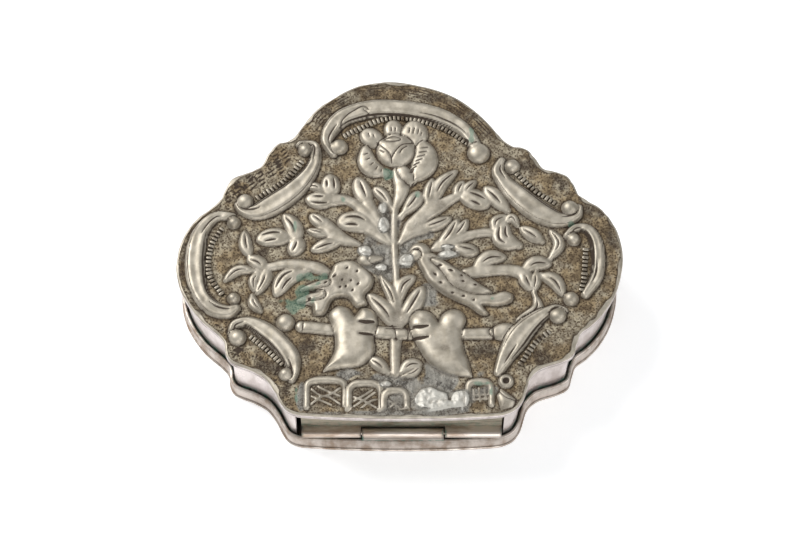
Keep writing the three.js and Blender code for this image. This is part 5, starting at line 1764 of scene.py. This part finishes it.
def studio_floor(colour):
    """Matt floor that keeps the shadow and glows where the camera or a reflection sees it."""
    s = Shading("studio_floor")
    cloth = s.node("ShaderNodeBsdfDiffuse", Color=colour)
    seen = s.node("ShaderNodeLightPath").outputs
    direct = s.most(seen["Is Camera Ray"], seen["Is Glossy Ray"])
    direct = s.most(direct, seen["Is Transmission Ray"])
    glow = s.node("ShaderNodeEmission", Strength=s.times(direct, FLOOR_GLOW))
    both = s.node("ShaderNodeAddShader")
    s.set(both.inputs[0], cloth.outputs[0])
    s.set(both.inputs[1], glow.outputs[0])
    s.set(s.output.inputs["Surface"], both.outputs[0])
    mesh = bpy.data.meshes.new("studio_floor")
    reach = FLOOR_REACH
    corners = [(-reach, -reach, 0), (reach, -reach, 0), (reach, reach, 0), (-reach, reach, 0)]
    mesh.from_pydata(corners, [], [(0, 1, 2, 3)])
    mesh.materials.append(s.material)
    return link_piece("studio_floor", mesh)


def studio_world(scene):
    """Faint cool light from all round."""
    world = bpy.data.worlds.new("studio_world")
    scene.world = world
    world.use_nodes = True
    background = world.node_tree.nodes["Background"]
    background.inputs["Color"].default_value = (0.94, 0.97, 1.0, 1)
    background.inputs["Strength"].default_value = WORLD_STRENGTH


def studio_lamp(scene, name, where, size, power):
    """Round soft lamp that faces the case."""
    data = bpy.data.lights.new(name, "AREA")
    data.shape = "DISK"
    data.size = size
    data.energy = power
    lamp = bpy.data.objects.new(name, data)
    lamp.location = where
    lamp.rotation_mode = "QUATERNION"
    lamp.rotation_quaternion = (-Vector(where)).to_track_quat("-Z", "Y")
    scene.collection.objects.link(lamp)


def studio_camera(scene):
    """Camera at the photograph's angle."""
    data = bpy.data.cameras.new("camera")
    data.sensor_width = 36
    data.lens = CAMERA_LENS
    data.shift_x, data.shift_y = CAMERA_SHIFT
    data.clip_start = 0.01
    camera = bpy.data.objects.new("camera", data)
    back = Vector((0, -math.cos(CAMERA_ELEVATION), math.sin(CAMERA_ELEVATION)))
    camera.location = Vector(CAMERA_AIM) + back * CAMERA_DISTANCE
    camera.rotation_mode = "QUATERNION"
    camera.rotation_quaternion = (-back).to_track_quat("-Z", "Y")
    scene.collection.objects.link(camera)
    scene.camera = camera


class CASE_PT_panel(bpy.types.Panel):
    """Buttons and sizes of the case in the sidebar"""

    bl_idname = "CASE_PT_panel"
    bl_label = "Tobacco case"
    bl_space_type = "VIEW_3D"
    bl_region_type = "UI"
    bl_category = "Case"

    def draw(self, context):
        for operator in OPERATORS:
            self.layout.operator(operator.bl_idname)
        for group in (context.scene.case_sizes, context.scene.case_finishes):
            for name in group.__annotations__:
                self.layout.prop(group, name)


OPERATORS = (CASE_OT_lid_top, CASE_OT_beading, CASE_OT_lid_side, CASE_OT_hinge, CASE_OT_tray, CASE_OT_stage)
CLASSES = (CaseSizes, CaseFinishes, *OPERATORS, CASE_PT_panel)


def register():
    for each in CLASSES:
        bpy.utils.register_class(each)
    bpy.types.Scene.case_sizes = bpy.props.PointerProperty(type=CaseSizes)
    bpy.types.Scene.case_finishes = bpy.props.PointerProperty(type=CaseFinishes)


def unregister():
    del bpy.types.Scene.case_finishes
    del bpy.types.Scene.case_sizes
    for each in reversed(CLASSES):
        bpy.utils.unregister_class(each)


def main():
    register()
    bpy.ops.case.stage()
    bpy.ops.case.lid_top()
    bpy.ops.case.beading()
    bpy.ops.case.lid_side()
    bpy.ops.case.hinge()
    bpy.ops.case.tray()


if __name__ == "__main__":
    main()
